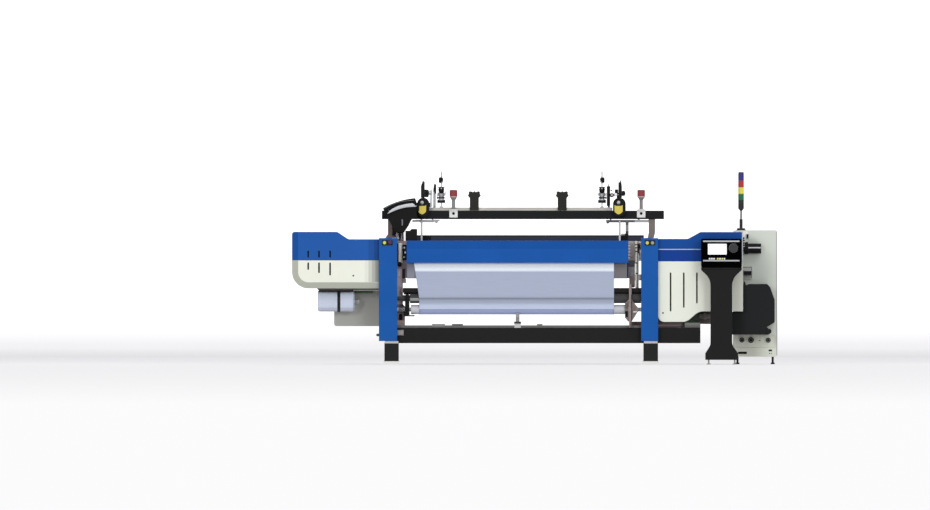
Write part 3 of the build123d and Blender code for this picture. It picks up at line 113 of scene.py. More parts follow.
def turned(centre, axis, profile, sides=32):
    """A closed turned form: each (radius, height) of the profile goes round the axis in even steps.

    A point is centre + radius * (cos t * a + sin t * b) + height * c, with a, b, c the axis's own directions.
    The profile runs from the low end to the high end, and both ends are closed by a face.
    """
    a, b, c = AXES[axis]
    radius, height = np.asarray(profile, float).T
    t = np.linspace(0, 2 * math.pi, sides, endpoint=False)
    ring = np.cos(t)[:, None] * a + np.sin(t)[:, None] * b
    points = np.asarray(centre, float) + radius[:, None, None] * ring + height[:, None, None] * c
    return points.reshape(-1, 3), tube_faces(len(radius), sides)


def plate(centre, width, height, depth, corner, edge, steps=6):
    """A flat plate with round corners and a soft rim, standing out to the front from its back's centre.

    Its outline is a rounded rectangle. Its rim follows a quarter circle: at angle s the outline is drawn in by
    edge * (1 - cos s) and lies at depth - edge + edge * sin s.
    """
    t = np.linspace(0, math.pi / 2, steps)
    turns = (t[None, :] + np.arange(4)[:, None] * math.pi / 2).reshape(-1)
    middle_u = np.repeat([1, -1, -1, 1], steps) * (width / 2 - corner)
    middle_v = np.repeat([1, 1, -1, -1], steps) * (height / 2 - corner)
    s = np.linspace(0, math.pi / 2, 5)
    drawn_in = np.concatenate([[0.0], edge * (1 - np.cos(s))])
    out = np.concatenate([[0.0], depth - edge + edge * np.sin(s)])
    radius = np.maximum(corner - drawn_in, 0.01)[:, None]
    u = middle_u[None, :] + radius * np.cos(turns)[None, :]
    v = middle_v[None, :] + radius * np.sin(turns)[None, :]
    points = np.asarray(centre, float) + np.stack([u, np.broadcast_to(-out[:, None], u.shape), v], -1)
    return points.reshape(-1, 3), tube_faces(len(out), len(turns))


def bar(path, radius, sides=12):
    """A round bar along a line of points: at each point a circle stands square to the line's direction."""
    path = np.asarray(path, float)
    run = np.gradient(path, axis=0)
    run /= np.linalg.norm(run, axis=1)[:, None]
    side, other = square_to(run)
    t = np.linspace(0, 2 * math.pi, sides, endpoint=False)
    round_it = np.cos(t)[None, :, None] * side[:, None] + np.sin(t)[None, :, None] * other[:, None]
    return (path[:, None] + radius * round_it).reshape(-1, 3), tube_faces(len(path), sides)


def bent(points, radius, steps=6):
    """A line through corner points with each corner rounded by a parabola that leaves it by the radius.

    Between the leaving point p and the return point q, a point is (1-t)^2 p + 2 t (1-t) corner + t^2 q.
    """
    points = np.asarray(points, float)
    line = [points[:1]]
    t = np.linspace(0, 1, steps)[:, None]
    for before, corner, after in zip(points, points[1:], points[2:]):
        p = corner + (before - corner) * radius / np.linalg.norm(before - corner)
        q = corner + (after - corner) * radius / np.linalg.norm(after - corner)
        line.append((1 - t) ** 2 * p + 2 * t * (1 - t) * corner + t ** 2 * q)
    line.append(points[-1:])
    return np.concatenate(line)


def evenly(line, count):
    """Points spaced evenly by length along a line, and how far along it each of them lies."""
    line = np.asarray(line, float)
    run = np.concatenate([[0.0], np.cumsum(np.linalg.norm(np.diff(line, axis=0), axis=1))])
    along = np.linspace(0.0, run[-1], count)
    return np.stack([np.interp(along, run, values) for values in line.T], -1), along


# Shader nodes

FLOAT, VECTOR = "NodeSocketFloat", "NodeSocketVector"
WHERE = ("Vector", VECTOR, None)


def srgb(red, green, blue):
    """A colour given as it shows on screen, from 0 to 255, turned into light values."""
    values = np.array([red, green, blue]) / 255.0
    light = np.where(values <= 0.04045, values / 12.92, ((values + 0.055) / 1.055) ** 2.4)
    return (*map(float, light), 1.0)


def put(tree, socket, value):
    """Links a socket from another, or sets its value; a screen colour becomes light values."""
    if isinstance(value, bpy.types.NodeSocket):
        tree.links.new(value, socket)
    elif socket.type == "RGBA" and len(value) == 3:
        socket.default_value = srgb(*value)
    else:
        socket.default_value = value


def set_inputs(tree, node, **named):
    """Several inputs of a node, by name."""
    for key, value in named.items():
        put(tree, node.inputs[key.replace("_", " ")], value)


def add(tree, kind, settings=None, numbered=(), **named):
    """A shader node with its settings and its inputs, given in their order or by name."""
    node = tree.nodes.new("ShaderNode" + kind)
    for key, value in (settings or {}).items():
        setattr(node, key, value)
    for key, value in enumerate(numbered):
        put(tree, node.inputs[key], value)
    set_inputs(tree, node, **named)
    return node


def number(tree, operation, *values):
    """One step of arithmetic on numbers."""
    return add(tree, "Math", {"operation": operation}, values).outputs[0]


def vector(tree, operation, *values, out=0):
    """One step of arithmetic on vectors; a length or a dot product comes out as Value."""
    return add(tree, "VectorMath", {"operation": operation}, values).outputs[out]


def ranged(tree, value, old=(0.0, 1.0), new=(0.0, 1.0)):
    """A value brought from one range to another."""
    return add(tree, "MapRange", Value=value, From_Min=old[0], From_Max=old[1], To_Min=new[0],
               To_Max=new[1]).outputs[0]


def mixed(tree, mask, under, over):
    """One colour over another by a mask."""
    node = add(tree, "Mix", {"data_type": "RGBA"})
    for place, value in ((0, mask), (6, under), (7, over)):
        put(tree, node.inputs[place], value)
    return node.outputs[2]


def ramped(tree, share, stops):
    """Grey levels along a share from 0 to 1, through (place, level) stops from the first to the last."""
    ramp = add(tree, "ValToRGB", Fac=share)
    elements = ramp.color_ramp.elements
    elements[0].position, elements[-1].position = 0.0, 1.0
    for place, level in stops[1:-1]:
        elements.new(place)
    for element, (place, level) in zip(elements, stops):
        element.color = (level, level, level, 1.0)
    return ramp.outputs["Color"]


def new_group(name, inputs, outputs):
    """An empty shader group with its sockets: the group, what comes into it and what it gives."""
    group = bpy.data.node_groups.new(name, "ShaderNodeTree")
    for label, kind, value in inputs:
        socket = group.interface.new_socket(name=label, in_out="INPUT", socket_type=kind)
        if value is not None:
            socket.default_value = value
    for label, kind in outputs:
        group.interface.new_socket(name=label, in_out="OUTPUT", socket_type=kind)
    return group, group.nodes.new("NodeGroupInput").outputs, group.nodes.new("NodeGroupOutput").inputs


def build_edge_group():
    """Softens sharp edges in the shading and marks them, for rubbed paint and bright corners."""
    group, given, out = new_group("rounded_edge", [("Radius", FLOAT, 0.003)],
                                  [("Normal", VECTOR), ("Edge", FLOAT)])
    bevel = add(group, "Bevel", {"samples": 4}, Radius=given["Radius"]).outputs[0]
    flat = add(group, "NewGeometry").outputs["Normal"]
    put(group, out["Normal"], bevel)
    turn = vector(group, "DOT_PRODUCT", bevel, flat, out="Value")
    put(group, out["Edge"], ranged(group, turn, (0.995, 0.86)))
    return group


def build_grain_group():
    """Two sizes of noise: a fine one for the surface's grain and a broad one for uneven tone."""
    group, given, out = new_group("fine_grain", [WHERE, ("Scale", FLOAT, 400.0)],
                                  [("Grain", FLOAT), ("Tone", FLOAT)])
    for label, scale, detail, rough in (("Grain", given["Scale"], 2.0, 0.6), ("Tone", 2.6, 4.0, 0.55)):
        noise = add(group, "TexNoise", Vector=given["Vector"], Scale=scale, Detail=detail, Roughness=rough)
        put(group, out[label], noise.outputs[0])
    return group


def build_dust_group():
    """Pale dust and lint where a surface faces up, broken up by noise."""
    group, given, out = new_group("settled_lint", [WHERE, ("Amount", FLOAT, 0.3)], [("Mask", FLOAT)])
    normal = add(group, "NewGeometry").outputs["Normal"]
    up = ranged(group, add(group, "SeparateXYZ", Vector=normal).outputs["Z"], (0.35, 0.95))
    noise = add(group, "TexNoise", Vector=given["Vector"], Scale=28.0, Detail=6.0).outputs[0]
    both = number(group, "MULTIPLY", up, ranged(group, noise, (0.42, 0.7)))
    put(group, out["Mask"], number(group, "MULTIPLY", both, given["Amount"]))
    return group


def build_brushed_group():
    """Fine lines along one direction, from noise stretched by the given scale."""
    group, given, out = new_group("brushed_lines", [WHERE, ("Stretch", VECTOR, (1, 60, 60))],
                                  [("Lines", FLOAT)])
    mapping = add(group, "Mapping", Vector=given["Vector"], Scale=given["Stretch"]).outputs[0]
    noise = add(group, "TexNoise", Vector=mapping, Scale=9.0, Detail=5.0, Roughness=0.7)
    put(group, out["Lines"], noise.outputs[0])
    return group


def build_weave_group():
    """A plain weave on a UV map in metres: two crossed waves, the higher thread showing at each crossing."""
    group, given, out = new_group("plain_weave", [WHERE, ("Threads", FLOAT, 900.0)],
                                  [("Height", FLOAT), ("Warp", FLOAT)])
    parts = add(group, "SeparateXYZ", Vector=given["Vector"]).outputs
    waves = []
    for axis in ("X", "Y"):
        turn = number(group, "MULTIPLY", parts[axis], given["Threads"])
        waves.append(number(group, "SINE", number(group, "MULTIPLY", turn, math.pi)))
    crossing = number(group, "MULTIPLY", *waves)
    put(group, out["Height"], number(group, "ABSOLUTE", crossing))
    put(group, out["Warp"], number(group, "GREATER_THAN", crossing, 0.0))
    return group


def build_block_group():
    """Marks a block with round corners: a point is inside where the part of |p - centre| beyond core is shorter
    than the corner radius. A round spot is a block whose core has no width."""
    group, given, out = new_group("rounded_block", [
        WHERE, ("Centre", VECTOR, (0, 0, 0)), ("Core", VECTOR, (1, 1, 1)), ("Radius", FLOAT, 0.001)],
        [("Mask", FLOAT)])
    size = vector(group, "ABSOLUTE", vector(group, "SUBTRACT", given["Vector"], given["Centre"]))
    outer = vector(group, "MAXIMUM", vector(group, "SUBTRACT", size, given["Core"]), (0, 0, 0))
    length = vector(group, "LENGTH", outer, out="Value")
    put(group, out["Mask"], number(group, "LESS_THAN", length, given["Radius"]))
    return group


EDGE = build_edge_group()
GRAIN = build_grain_group()
LINT = build_dust_group()
BRUSHED = build_brushed_group()
WEAVE = build_weave_group()
BLOCK = build_block_group()


# Materials

SKINS = {}


def use(tree, group, **values):
    """The outputs of a shader group placed in a material, with its own values."""
    return add(tree, "Group", {"node_tree": group}, **values).outputs


def start_material(name, nodes=""):
    """A new material, worn by the named solids: its tree, its shader and the object's own coordinates."""
    made = SKINS[name] = bpy.data.materials.new(name)
    made.use_nodes = True
    for node in nodes.split():
        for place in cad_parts[node].material_slots:
            place.material = made
    tree = made.node_tree
    tree.nodes.clear()
    shader = add(tree, "BsdfPrincipled")
    tree.links.new(shader.outputs[0], add(tree, "OutputMaterial").inputs[0])
    return tree, shader, add(tree, "TexCoord").outputs["Object"]


def mark_masks(tree, where, marks, depth):
    """Each mark's mask and colour. A mark is (left, right, low, high, colour) as seen from the front, in
    millimetres. It may go on with its corner radius, and then with a range of Y other than the depth."""
    for left, right, low, high, colour, *more in marks:
        corner = (more[0] if more else 1) / 1000.0
        near, far = more[1] if more[1:] else depth
        start, end = np.array([(left, near, low), (right, far, high)]) / 1000.0
        core = np.maximum((end - start) / 2 - corner, 0.0)
        yield use(tree, BLOCK, Vector=where, Centre=(start + end) / 2, Core=core, Radius=corner)["Mask"], colour


# The range of Y of a mark that runs through the whole loom
ALL_Y = (-1200, 1200)


def paint(name, nodes, colour, marks=(), depth=ALL_Y, roughness=0.32, tone=0.07, grain=420.0, bump=0.10,
          edge=(0.003, (200, 203, 206), 0.16), lint=0.03, coat=0.0, specular=0.14):
    """Painted metal or moulded plastic: marks, uneven tone, rubbed edges, lint and grain.

    The edge is (radius in metres, colour where it is rubbed, how much it is rubbed at most)."""
    tree, shader, where = start_material(name, nodes)
    radius, rubbed, wear = edge
    for mask, shade in mark_masks(tree, where, marks, depth):
        colour = mixed(tree, mask, colour, shade)
    grains = use(tree, GRAIN, Vector=where, Scale=grain)
    edges = use(tree, EDGE, Radius=radius)
    deep = add(tree, "HueSaturation", Value=1.0 - tone, Color=colour).outputs[0]
    colour = mixed(tree, ranged(tree, grains["Tone"], (0.35, 0.65)), deep, colour)
    worn = ranged(tree, grains["Tone"], (0.40, 0.62), (0.0, wear))
    colour = mixed(tree, number(tree, "MULTIPLY", edges["Edge"], worn), colour, rubbed)
    if lint:
        colour = mixed(tree, use(tree, LINT, Vector=where, Amount=lint)["Mask"], colour, (196, 198, 200))
    height = add(tree, "Bump", Strength=bump, Distance=0.0004, Height=grains["Grain"], Normal=edges["Normal"])
    set_inputs(tree, shader, Base_Color=colour, Normal=height.outputs[0], Metallic=0.0, Coat_Weight=coat,
               Roughness=ranged(tree, grains["Tone"], new=(roughness * 0.82, roughness * 1.18)),
               Coat_Roughness=0.12, Specular_IOR_Level=specular)


def cast(name, nodes, colour, marks=(), depth=ALL_Y, bump=0.5):
    """Painted casting: a coarse skin with rubbed edges."""
    paint(name, nodes, colour, marks, depth, 0.55, tone=0.14, grain=160.0, bump=bump, lint=0.05,
          edge=(0.004, (150, 150, 150), 0.3), specular=0.12)


def metal(name, nodes, colour, stretch, roughness, marks=(), lines=0.16, shine=0.9):
    """Bare metal with fine tool lines along one direction; its marks are painted and don't shine."""
    tree, shader, where = start_material(name, nodes)
    brushed = use(tree, BRUSHED, Vector=where, Stretch=stretch)["Lines"]
    edges = use(tree, EDGE, Radius=0.002)
    dark = add(tree, "HueSaturation", Value=0.72, Color=colour).outputs[0]
    base = mixed(tree, brushed, dark, colour)
    covered = 0.0
    for mask, shade in mark_masks(tree, where, marks, ALL_Y):
        base = mixed(tree, mask, base, shade)
        covered = number(tree, "MAXIMUM", mask, covered)
    base = mixed(tree, number(tree, "MULTIPLY", edges["Edge"], 0.4), base, (225, 226, 228))
    base = mixed(tree, use(tree, LINT, Vector=where, Amount=0.25)["Mask"], base, (190, 190, 190))
    height = add(tree, "Bump", Strength=lines, Distance=0.0003, Height=brushed, Normal=edges["Normal"])
    set_inputs(tree, shader, Base_Color=base, Normal=height.outputs[0], Specular_IOR_Level=0.2,
               Roughness=ranged(tree, brushed, new=(roughness * 0.7, roughness * 1.35)),
               Metallic=ranged(tree, covered, new=(shine, 0.0)) if marks else shine)


# Places that more than one piece or mark uses, in millimetres
ALL_X = (-3000, 3000)
LAMP_X = (-812, 1065)
TENSIONER_X = (-1126, 839)
LEFT_COVER_FACE = (-765, -740)
GEAR_FRONT = (-900, -500)

WHITE_SHEET = (227, 230, 217)
BLACK = (8, 8, 9)
WHITE_FINISH = {"roughness": 0.45, "tone": 0.03, "lint": 0.0, "edge": (0.003, (250, 250, 246), 0.2)}

for side, left, right in (("left", -1530, -1418), ("right", 1098, 1208)):
    paint("post_blue_" + side, side + "_post_cover", (14, 83, 160),
          [(left, right, 1189, 1245, (28, 28, 30), 8)], (-900, -801))
# The band above 1156 mm is painted a touch darker: painted shade on the panel's upper part
paint("panel_blue", "front_panel", (15, 82, 161), [(*ALL_X, 1156, 1245, (9, 76, 153))], (-790, -770),
      roughness=0.3)
paint("left_cover_blue", "left_upper_cover", (24, 84, 162), [
    # Painted shade: the left end's bevel, darker than the flat face
    (-2440, -2366, 1040, 1360, (14, 76, 153)),
    # Painted shadow: the face darkens in steps towards the post
    (-1662, -1400, 1040, 1262, (22, 76, 148), 1, LEFT_COVER_FACE),
    (-1606, -1400, 1040, 1262, (14, 66, 134), 1, LEFT_COVER_FACE),
], roughness=0.4)
paint("right_cover_blue", "right_upper_cover", (9, 71, 149), [
    (1230, 1668, 1030, 1143, (3, 57, 142), 1, (-760, -737)),
    (2073, 2090, 1032, 1316, (205, 208, 204), 1, (-760, -736)),
])
# The base colour is the bevel's painted shade; the flat face inside it is marked white
paint("left_cover_white", "left_lower_cover", (174, 177, 164), [
    (-2365, -1400, 822, 1400, WHITE_SHEET, 103),
    # Painted shadow: the white face darkens in steps towards the post
    *[(left, -1400, 824, 1042, shade, 1, LEFT_COVER_FACE) for left, shade in (
        (-1700, (218, 221, 210)), (-1662, (196, 198, 187)), (-1628, (170, 172, 162)),
        (-1594, (142, 145, 137)))],
], **WHITE_FINISH)
# The base colour is the right bevel's painted shade; the flat face left of 1983 mm is marked white
paint("right_cover_white", "right_lower_cover", (190, 193, 183), [(1100, 1983, 300, 1300, WHITE_SHEET)],
      **WHITE_FINISH)
paint("pad_white", "machine_pads", (218, 218, 214), roughness=0.55, tone=0.05, lint=0.0)
cast("iron_black", "frame_feet", (28, 30, 29), [(*ALL_X, 211, 240, (196, 196, 194))])
paint("beam_black", "front_crossbeam", (20, 19, 19), [
    (-1380, 1066, 368, 392, (98, 98, 96), 1, (-709, -650)),
    (-203, -139, 366, 408, (196, 196, 194)),
    (-203, -139, 408, 429, (62, 60, 60)),
    (-192, -150, 429, 520, (152, 150, 152)),
    (-842, -698, 391, 420, (88, 88, 86)),
    (-1030, -895, 391, 420, (128, 128, 126)),
    (10, 90, 391, 420, (128, 128, 126)),
    (-1380, -1310, 290, 345, (150, 142, 142)),
], (-760, -620), roughness=0.5, tone=0.12, lint=0.25)
paint("rear_black", "rear_crossbeam press_beam", (18, 18, 19), roughness=0.5, tone=0.12, lint=0.3)
paint("top_black", "top_beam", (22, 23, 25), roughness=0.5, tone=0.1, lint=0.05)
cast("frame_grey", "left_side_frame right_side_frame", (96, 99, 104))
paint("rail_pale", "top_rail", (214, 212, 206), roughness=0.45, tone=0.08, lint=0.0)
paint("post_dark", "beam_posts", (136, 127, 122), roughness=0.5, tone=0.18)
paint("crown_olive", "crown_brackets", (42, 43, 38), roughness=0.5, tone=0.14, lint=0.05)
paint("stand_grey", "lamp_stands", (146, 143, 143), [
    (*ALL_X, 1440, 1549, (246, 247, 244)),
    (*ALL_X, 1671, 1700, (158, 40, 48)),
    *[(x - 17, x + 17, 1490, 1524, BLACK, 17, (-90, -60)) for x in LAMP_X],
], roughness=0.45, tone=0.22, lint=0.0)
paint("lamp_red", "warning_lamps", (146, 58, 62), [(*ALL_X, 1669, 1678, (210, 196, 190))],
      roughness=0.18, coat=0.6, lint=0.05, edge=(0.002, (230, 120, 120), 0.3))
paint("housing_black", "tensioner_housings", (16, 16, 18), [
    (x - half, x + half, low, high, shade)
    for half, low, high, shade in ((43, 1486, 1594, (226, 206, 92)), (20, 1599, 1636, (206, 207, 210)))
    for x in TENSIONER_X
], (-200, -131), roughness=0.45)
metal("blade_steel", "selvedge_blades", (150, 151, 156), (60, 60, 2), 0.4,
      [(-1145, -975, 1300, 1900, BLACK), (700, 910, 1300, 1900, BLACK)], shine=0.4)
metal("guide_steel", "thread_guides", (165, 166, 170), (40, 40, 3), 0.35,
      [(*ALL_X, 1800, 1880, BLACK), (*ALL_X, 1608, 1641, (22, 22, 23))], shine=0.6)
metal("hook_steel", "hook_bars", (176, 177, 182), (2, 60, 60), 0.42, [
    (700, 1000, 1390, 1520, (96, 96, 100)),
    (700, 836, 1240, 1392, (96, 96, 100)),
    (836, 866, 1240, 1392, (214, 215, 218)),
    (900, 946, 1240, 1330, BLACK),
    (-1150, -1112, 1240, 1400, (232, 233, 236)),
], shine=0.5)
paint("spool_black", "left_leno_spool right_leno_spool", (12, 12, 13), roughness=0.3, lint=0.05)
paint("hood_black", "selector_hood", (5, 5, 7), roughness=0.42, lint=0.0, tone=0.1, specular=0.12)
# The pale upright streak on the body's front is a painted highlight
paint("selector_black", "selector_body", (7, 7, 9), [(-1331, -1317, 1389, 1451, (150, 152, 158))], (-192, -180),
      roughness=0.45, lint=0.05, specular=0.15)
metal("finger_steel", "selector_finger_1 selector_finger_2", (190, 190, 194), (60, 60, 2), 0.3, shine=0.6)
for name, node, colour in (
        ("button_green", "left_start_button", (196, 214, 92)),
        ("button_dark", "left_stop_button", (84, 34, 78)),
        ("button_yellow", "right_start_button", (204, 200, 84)),
        ("button_white", "right_stop_button", (150, 162, 140))):
    paint(name, node, colour, roughness=0.25, coat=0.5, lint=0.0)
cast("sley_grey", "sley", (120, 122, 126))
paint("reed_dark", "reed", (50, 54, 70), [(*ALL_X, 1279, 1300, (20, 21, 26))],
      roughness=0.5, tone=0.15, lint=0.0, specular=0.15)
paint("breast_grey", "breast_beam", (114, 112, 115), [(-1290, -1204, 855, 1015, (128, 130, 142))],
      roughness=0.5, tone=0.16, lint=0.05)
metal("roller_bright", "cloth_roller back_rest_roller", (196, 198, 204), (1.5, 90, 90), 0.5, lines=0.03,
      shine=0.25)
# The pale band at the roller's left end is a painted highlight
paint("roller_dark", "take_up_roller", (62, 62, 63), [(-1252, -1130, 636, 664, (142, 147, 143))],
      roughness=0.6, grain=700.0, bump=0.5, lint=0.05)
cast("left_gear", "left_gear_case", (150, 138, 144), [
    # Painted light: this strip of the case's front is lightened to make up for the shade it sits in
    (-1400, -1326, 600, 956, (194, 180, 188)),
    (-1400, -1300, 440, 600, (146, 130, 130)),
    (-1400, -1296, 355, 440, (200, 180, 174)),
    (-1326, -1294, 856, 956, (58, 52, 46)),
    (-1376, -1322, 1018, 1214, (250, 248, 240)),
    (-1376, -1366, 1018, 1214, (40, 38, 40)),
    (-1325, -1278, 1040, 1196, (30, 28, 32)),
    (-1312, -1296, 1160, 1178, (230, 230, 226)),
    (-1306, -1288, 1112, 1128, (214, 214, 210)),
    (-1316, -1298, 1066, 1080, (196, 198, 204)),
    (-1362, -1346, 880, 930, (214, 205, 206)),
    (-1306, -1294, 762, 850, (120, 104, 104)),
    (-1400, -1384, 600, 956, (150, 130, 134)),
    (-1302, -1200, 476, 700, (12, 12, 13)),
    (-1372, -1330, 976, 1026, BLACK, 20, GEAR_FRONT),
    (-1362, -1308, 515, 569, (52, 46, 48), 27, GEAR_FRONT),
    (-1347, -1323, 530, 554, (176, 166, 168), 12, GEAR_FRONT),
    (-1360, -1322, 440, 505, (30, 26, 26), 14, GEAR_FRONT),
], (-900, -300), 0.3)
cast("right_gear", "right_gear_case", (122, 112, 109), [
    (903, 936, 860, 1030, (52, 54, 78)),
    (936, 1003, 1040, 1240, (150, 142, 142)),
    (936, 1003, 975, 1040, (84, 84, 92)),
    (936, 1003, 872, 975, (134, 132, 136)),
    (1003, 1025, 742, 1240, (232, 229, 216)),
    (1025, 1032, 742, 1240, (40, 38, 40)),
    (1032, 1056, 1110, 1240, (24, 24, 30)),
    (1032, 1056, 742, 1110, (214, 218, 222)),
    (936, 962, 392, 800, (146, 133, 130)),
    (962, 972, 430, 700, (66, 60, 60)),
    (903, 936, 560, 612, (98, 90, 88)),
    (901, 932, 474, 534, BLACK),
    (974, 1012, 470, 552, (120, 110, 106)),
    (986, 1024, 520, 534, (226, 226, 222)),
    (955, 1060, 360, 429, (92, 76, 70)),
    *[(1003, 1025, z, z + 12, (58, 56, 60), 5) for z in (905, 1008, 1124, 1160, 1192)],
    *[(936, 956, z, z + 14, (214, 218, 222), 5) for z in (1058, 1088, 1120, 1150, 1180)],
], GEAR_FRONT, 0.3)
cast("rose_cast", "", (158, 146, 148), bump=0.3)
metal("wheel_grey", "left_rapier_wheel right_rapier_wheel", (170, 172, 176), (30, 30, 30), 0.4, shine=0.6)
metal("rapier_steel", "left_rapier right_rapier motor_shaft", (186, 187, 190), (2, 80, 80), 0.3, shine=0.6)
cast("casting_grey", "left_drive_casting right_drive_casting", (112, 104, 104), [
    (1236, 1462, 371, 426, (150, 132, 134)),
    (1462, 1655, 393, 497, (118, 124, 116)),
    (1790, 1900, 398, 484, (104, 94, 90)),
], (-760, -300), 0.35)
paint("motor_paint", "drive_motor", (205, 213, 231), [
    # Painted shade: the motor darkens in two steps towards its bottom
    (-2200, -1780, 480, 568, (190, 195, 211)),
    (-2200, -1780, 480, 541, (172, 176, 190)),
    (-1974, -1944, 500, 760, (30, 30, 32)),
    (-2170, -1810, 724, 760, (38, 38, 42)),
], (-700, -200), roughness=0.45, grain=260.0, bump=0.2, tone=0.08, lint=0.0)
paint("guard_grey", "belt_guard", (170, 171, 165), [(-1804, -1618, 706, 740, (92, 112, 84))], (-400, -331),
      roughness=0.5, tone=0.08)
paint("column_black", "cutter_box control_column", (21, 21, 22), [
    # Painted shade: a darker band on the column just under the head
    (1600, 2100, 950, 975, (5, 5, 6), 1, (-940, -900)),
    (1600, 2100, -5, 46, (150, 150, 150)),
], roughness=0.5, tone=0.1, lint=0.0, specular=0.12)
paint("dial_grey", "control_dial", (54, 56, 58), roughness=0.4, lint=0.0)
paint("dobby_black", "dobby", (18, 20, 21), roughness=0.5, tone=0.12, lint=0.05, specular=0.15)
paint("cutter_black", "", (24, 22, 30), roughness=0.5, tone=0.12, lint=0.0, specular=0.12)

KEY_YELLOW, KEY_WHITE, KEY_PALE = (226, 222, 120), (232, 232, 226), (228, 230, 232)
paint("head_black", "control_head", (5, 4, 4), [
    (1684, 2048, 1225, 1241, (186, 188, 190)),
    (1684, 2048, 1031, 1047, (176, 178, 180)),
    *[(x, x + 19, 1050, 1068, shade) for x, shade in (
        (1739, KEY_PALE), (1761, KEY_PALE), (1783, KEY_PALE), (1822, KEY_YELLOW), (1845, KEY_WHITE),
        (1868, KEY_YELLOW), (1890, KEY_WHITE))],
    (1980, 1988, 1053, 1061, (190, 214, 190)),
], (-960, -951), roughness=0.4, tone=0.1, lint=0.0, specular=0.0, edge=(0.003, (120, 122, 124), 0.1))
paint("cabinet_paint", "cabinet", (210, 215, 206), [
    (1900, 2500, 60, 300, (212, 215, 202), 1, (-150, -130)),
    (1900, 2500, -5, 74, (12, 12, 13), 1, (-300, 600)),
    (2080, 2300, 1000, 1300, (18, 18, 20), 1, (-300, -141)),
    (2091, 2184, 858, 978, (186, 188, 184), 1, (-300, -141)),
    (2091, 2184, 892, 932, (22, 22, 24), 1, (-300, -141)),
    (2000, 2120, 1337, 1347, (24, 24, 26), 1, (15, 105)),
    # Painted shade: a darker strip along the rounded right edge
    (2414, 2430, 90, 1325, (176, 180, 174), 1, (-142, -130)),
    (2083, 2130, 1188, 1330, (236, 239, 232), 1, (-142, -130)),
    *[(x - 7, x + 7, z - 7, z + 7, (50, 50, 54), 7, (-150, -130)) for x, z in ((2128, 1282), (2122, 1220))],
    *[(x - r, x + r, 241 - r, 241 + r, BLACK, r, (-190, -141)) for x, r in (
        (2072, 26), (2163, 30), (2336, 26))],
    *[(x - half, x + half, z - high, z + high, (10, 10, 11), high - 1, (-200, -60)) for x, z, half, high in (
        (2078, 114, 44, 11), (2356, 139, 18, 8), (2347, 107, 5, 5), (2366, 107, 5, 5), (2250, 238, 6, 6))],
], roughness=0.48, tone=0.05, lint=0.0)
paint("tower_paint", "signal_tower", (30, 30, 32), [(1980, 2150, low, high, shade) for low, high, shade in (
    (1340, 1612, (24, 24, 26)), (1612, 1640, (12, 40, 28)), (1640, 1702, (24, 104, 64)),
    (1702, 1768, (222, 214, 84)), (1768, 1835, (172, 46, 46)), (1835, 1905, (46, 44, 122)),
    (1905, 1925, (34, 34, 36)),
)], (0, 120), roughness=0.22, tone=0.04, lint=0.0, coat=0.7)


# Cloth

# How bright the web is painted at each height in millimetres, all painted light and shade: painted cylinder
# shading down the roll, a painted dark line at the crease over it, the face, and a painted lit shoulder
CLOTH_PAINTED_SHADING = [(500, 0.62), (530, 0.80), (560, 1.38), (592, 1.32), (616, 0.90), (646, 0.74), (653, 0.46),
               (664, 0.46), (674, 0.92), (700, 1.0), (924, 1.0), (934, 1.3), (950, 1.36), (1012, 1.36),
               (1020, 1.2)]


def cloth_material(name, deep, light, pale, painted_shading):
    """Light lilac cloth: a plain weave on the sheet's own UV map, a soft sheen and faint bars along the weft.

    With painted shading on, the cloth is painted brighter over the shoulder of the beam and painted into a
    darker line at the lower bend where it folds, with painted shading down the roll."""
    tree, shader, where = start_material(name)
    flat = add(tree, "UVMap", {"uv_map": "cloth"}).outputs[0]
    weave = use(tree, WEAVE, Vector=flat, Threads=1100.0)
    stretch = add(tree, "Mapping", Vector=flat, Scale=(1.2, 55.0, 1.0)).outputs[0]
    bars = add(tree, "TexNoise", Vector=stretch, Scale=3.0, Detail=4.0, Roughness=0.6).outputs[0]
    base = mixed(tree, ranged(tree, bars, (0.35, 0.65)), deep, light)
    if painted_shading:
        height = add(tree, "SeparateXYZ", Vector=where).outputs["Z"]
        low, high = CLOTH_PAINTED_SHADING[0][0], CLOTH_PAINTED_SHADING[-1][0]
        share = ranged(tree, height, (low / 1000.0, high / 1000.0))
        level = ramped(tree, share, [((z - low) / (high - low), level / 2.0) for z, level in CLOTH_PAINTED_SHADING])
        painted_lift = add(tree, "VectorMath", {"operation": "SCALE"}, [level], Scale=2.0).outputs[0]
        base = vector(tree, "MULTIPLY", base, painted_lift)
        # Painted light: over the shoulder the cloth is mixed towards near white
        base = mixed(tree, ranged(tree, height, (0.926, 0.945), (0.0, 0.85)), base, (247, 253, 255))
    base = mixed(tree, number(tree, "MULTIPLY", weave["Warp"], 0.3), base, pale)
    relief = add(tree, "Bump", Strength=0.25, Distance=0.0002, Height=weave["Height"])
    set_inputs(tree, shader, Base_Color=base, Normal=relief.outputs[0], Roughness=0.78, Sheen_Weight=0.25,
               Specular_IOR_Level=0.25)


cloth_material("loom_cloth", (154, 163, 184), (162, 171, 192), (172, 180, 199), True)
cloth_material("wound_cloth", (138, 148, 184), (148, 157, 192), (160, 168, 200), False)

# The web's edges in X at the panel, and how far its left edge has moved in at the roll
CLOTH_LEFT = -1207.0
CLOTH_RIGHT = 793.0
CLOTH_SLANT = 51.0


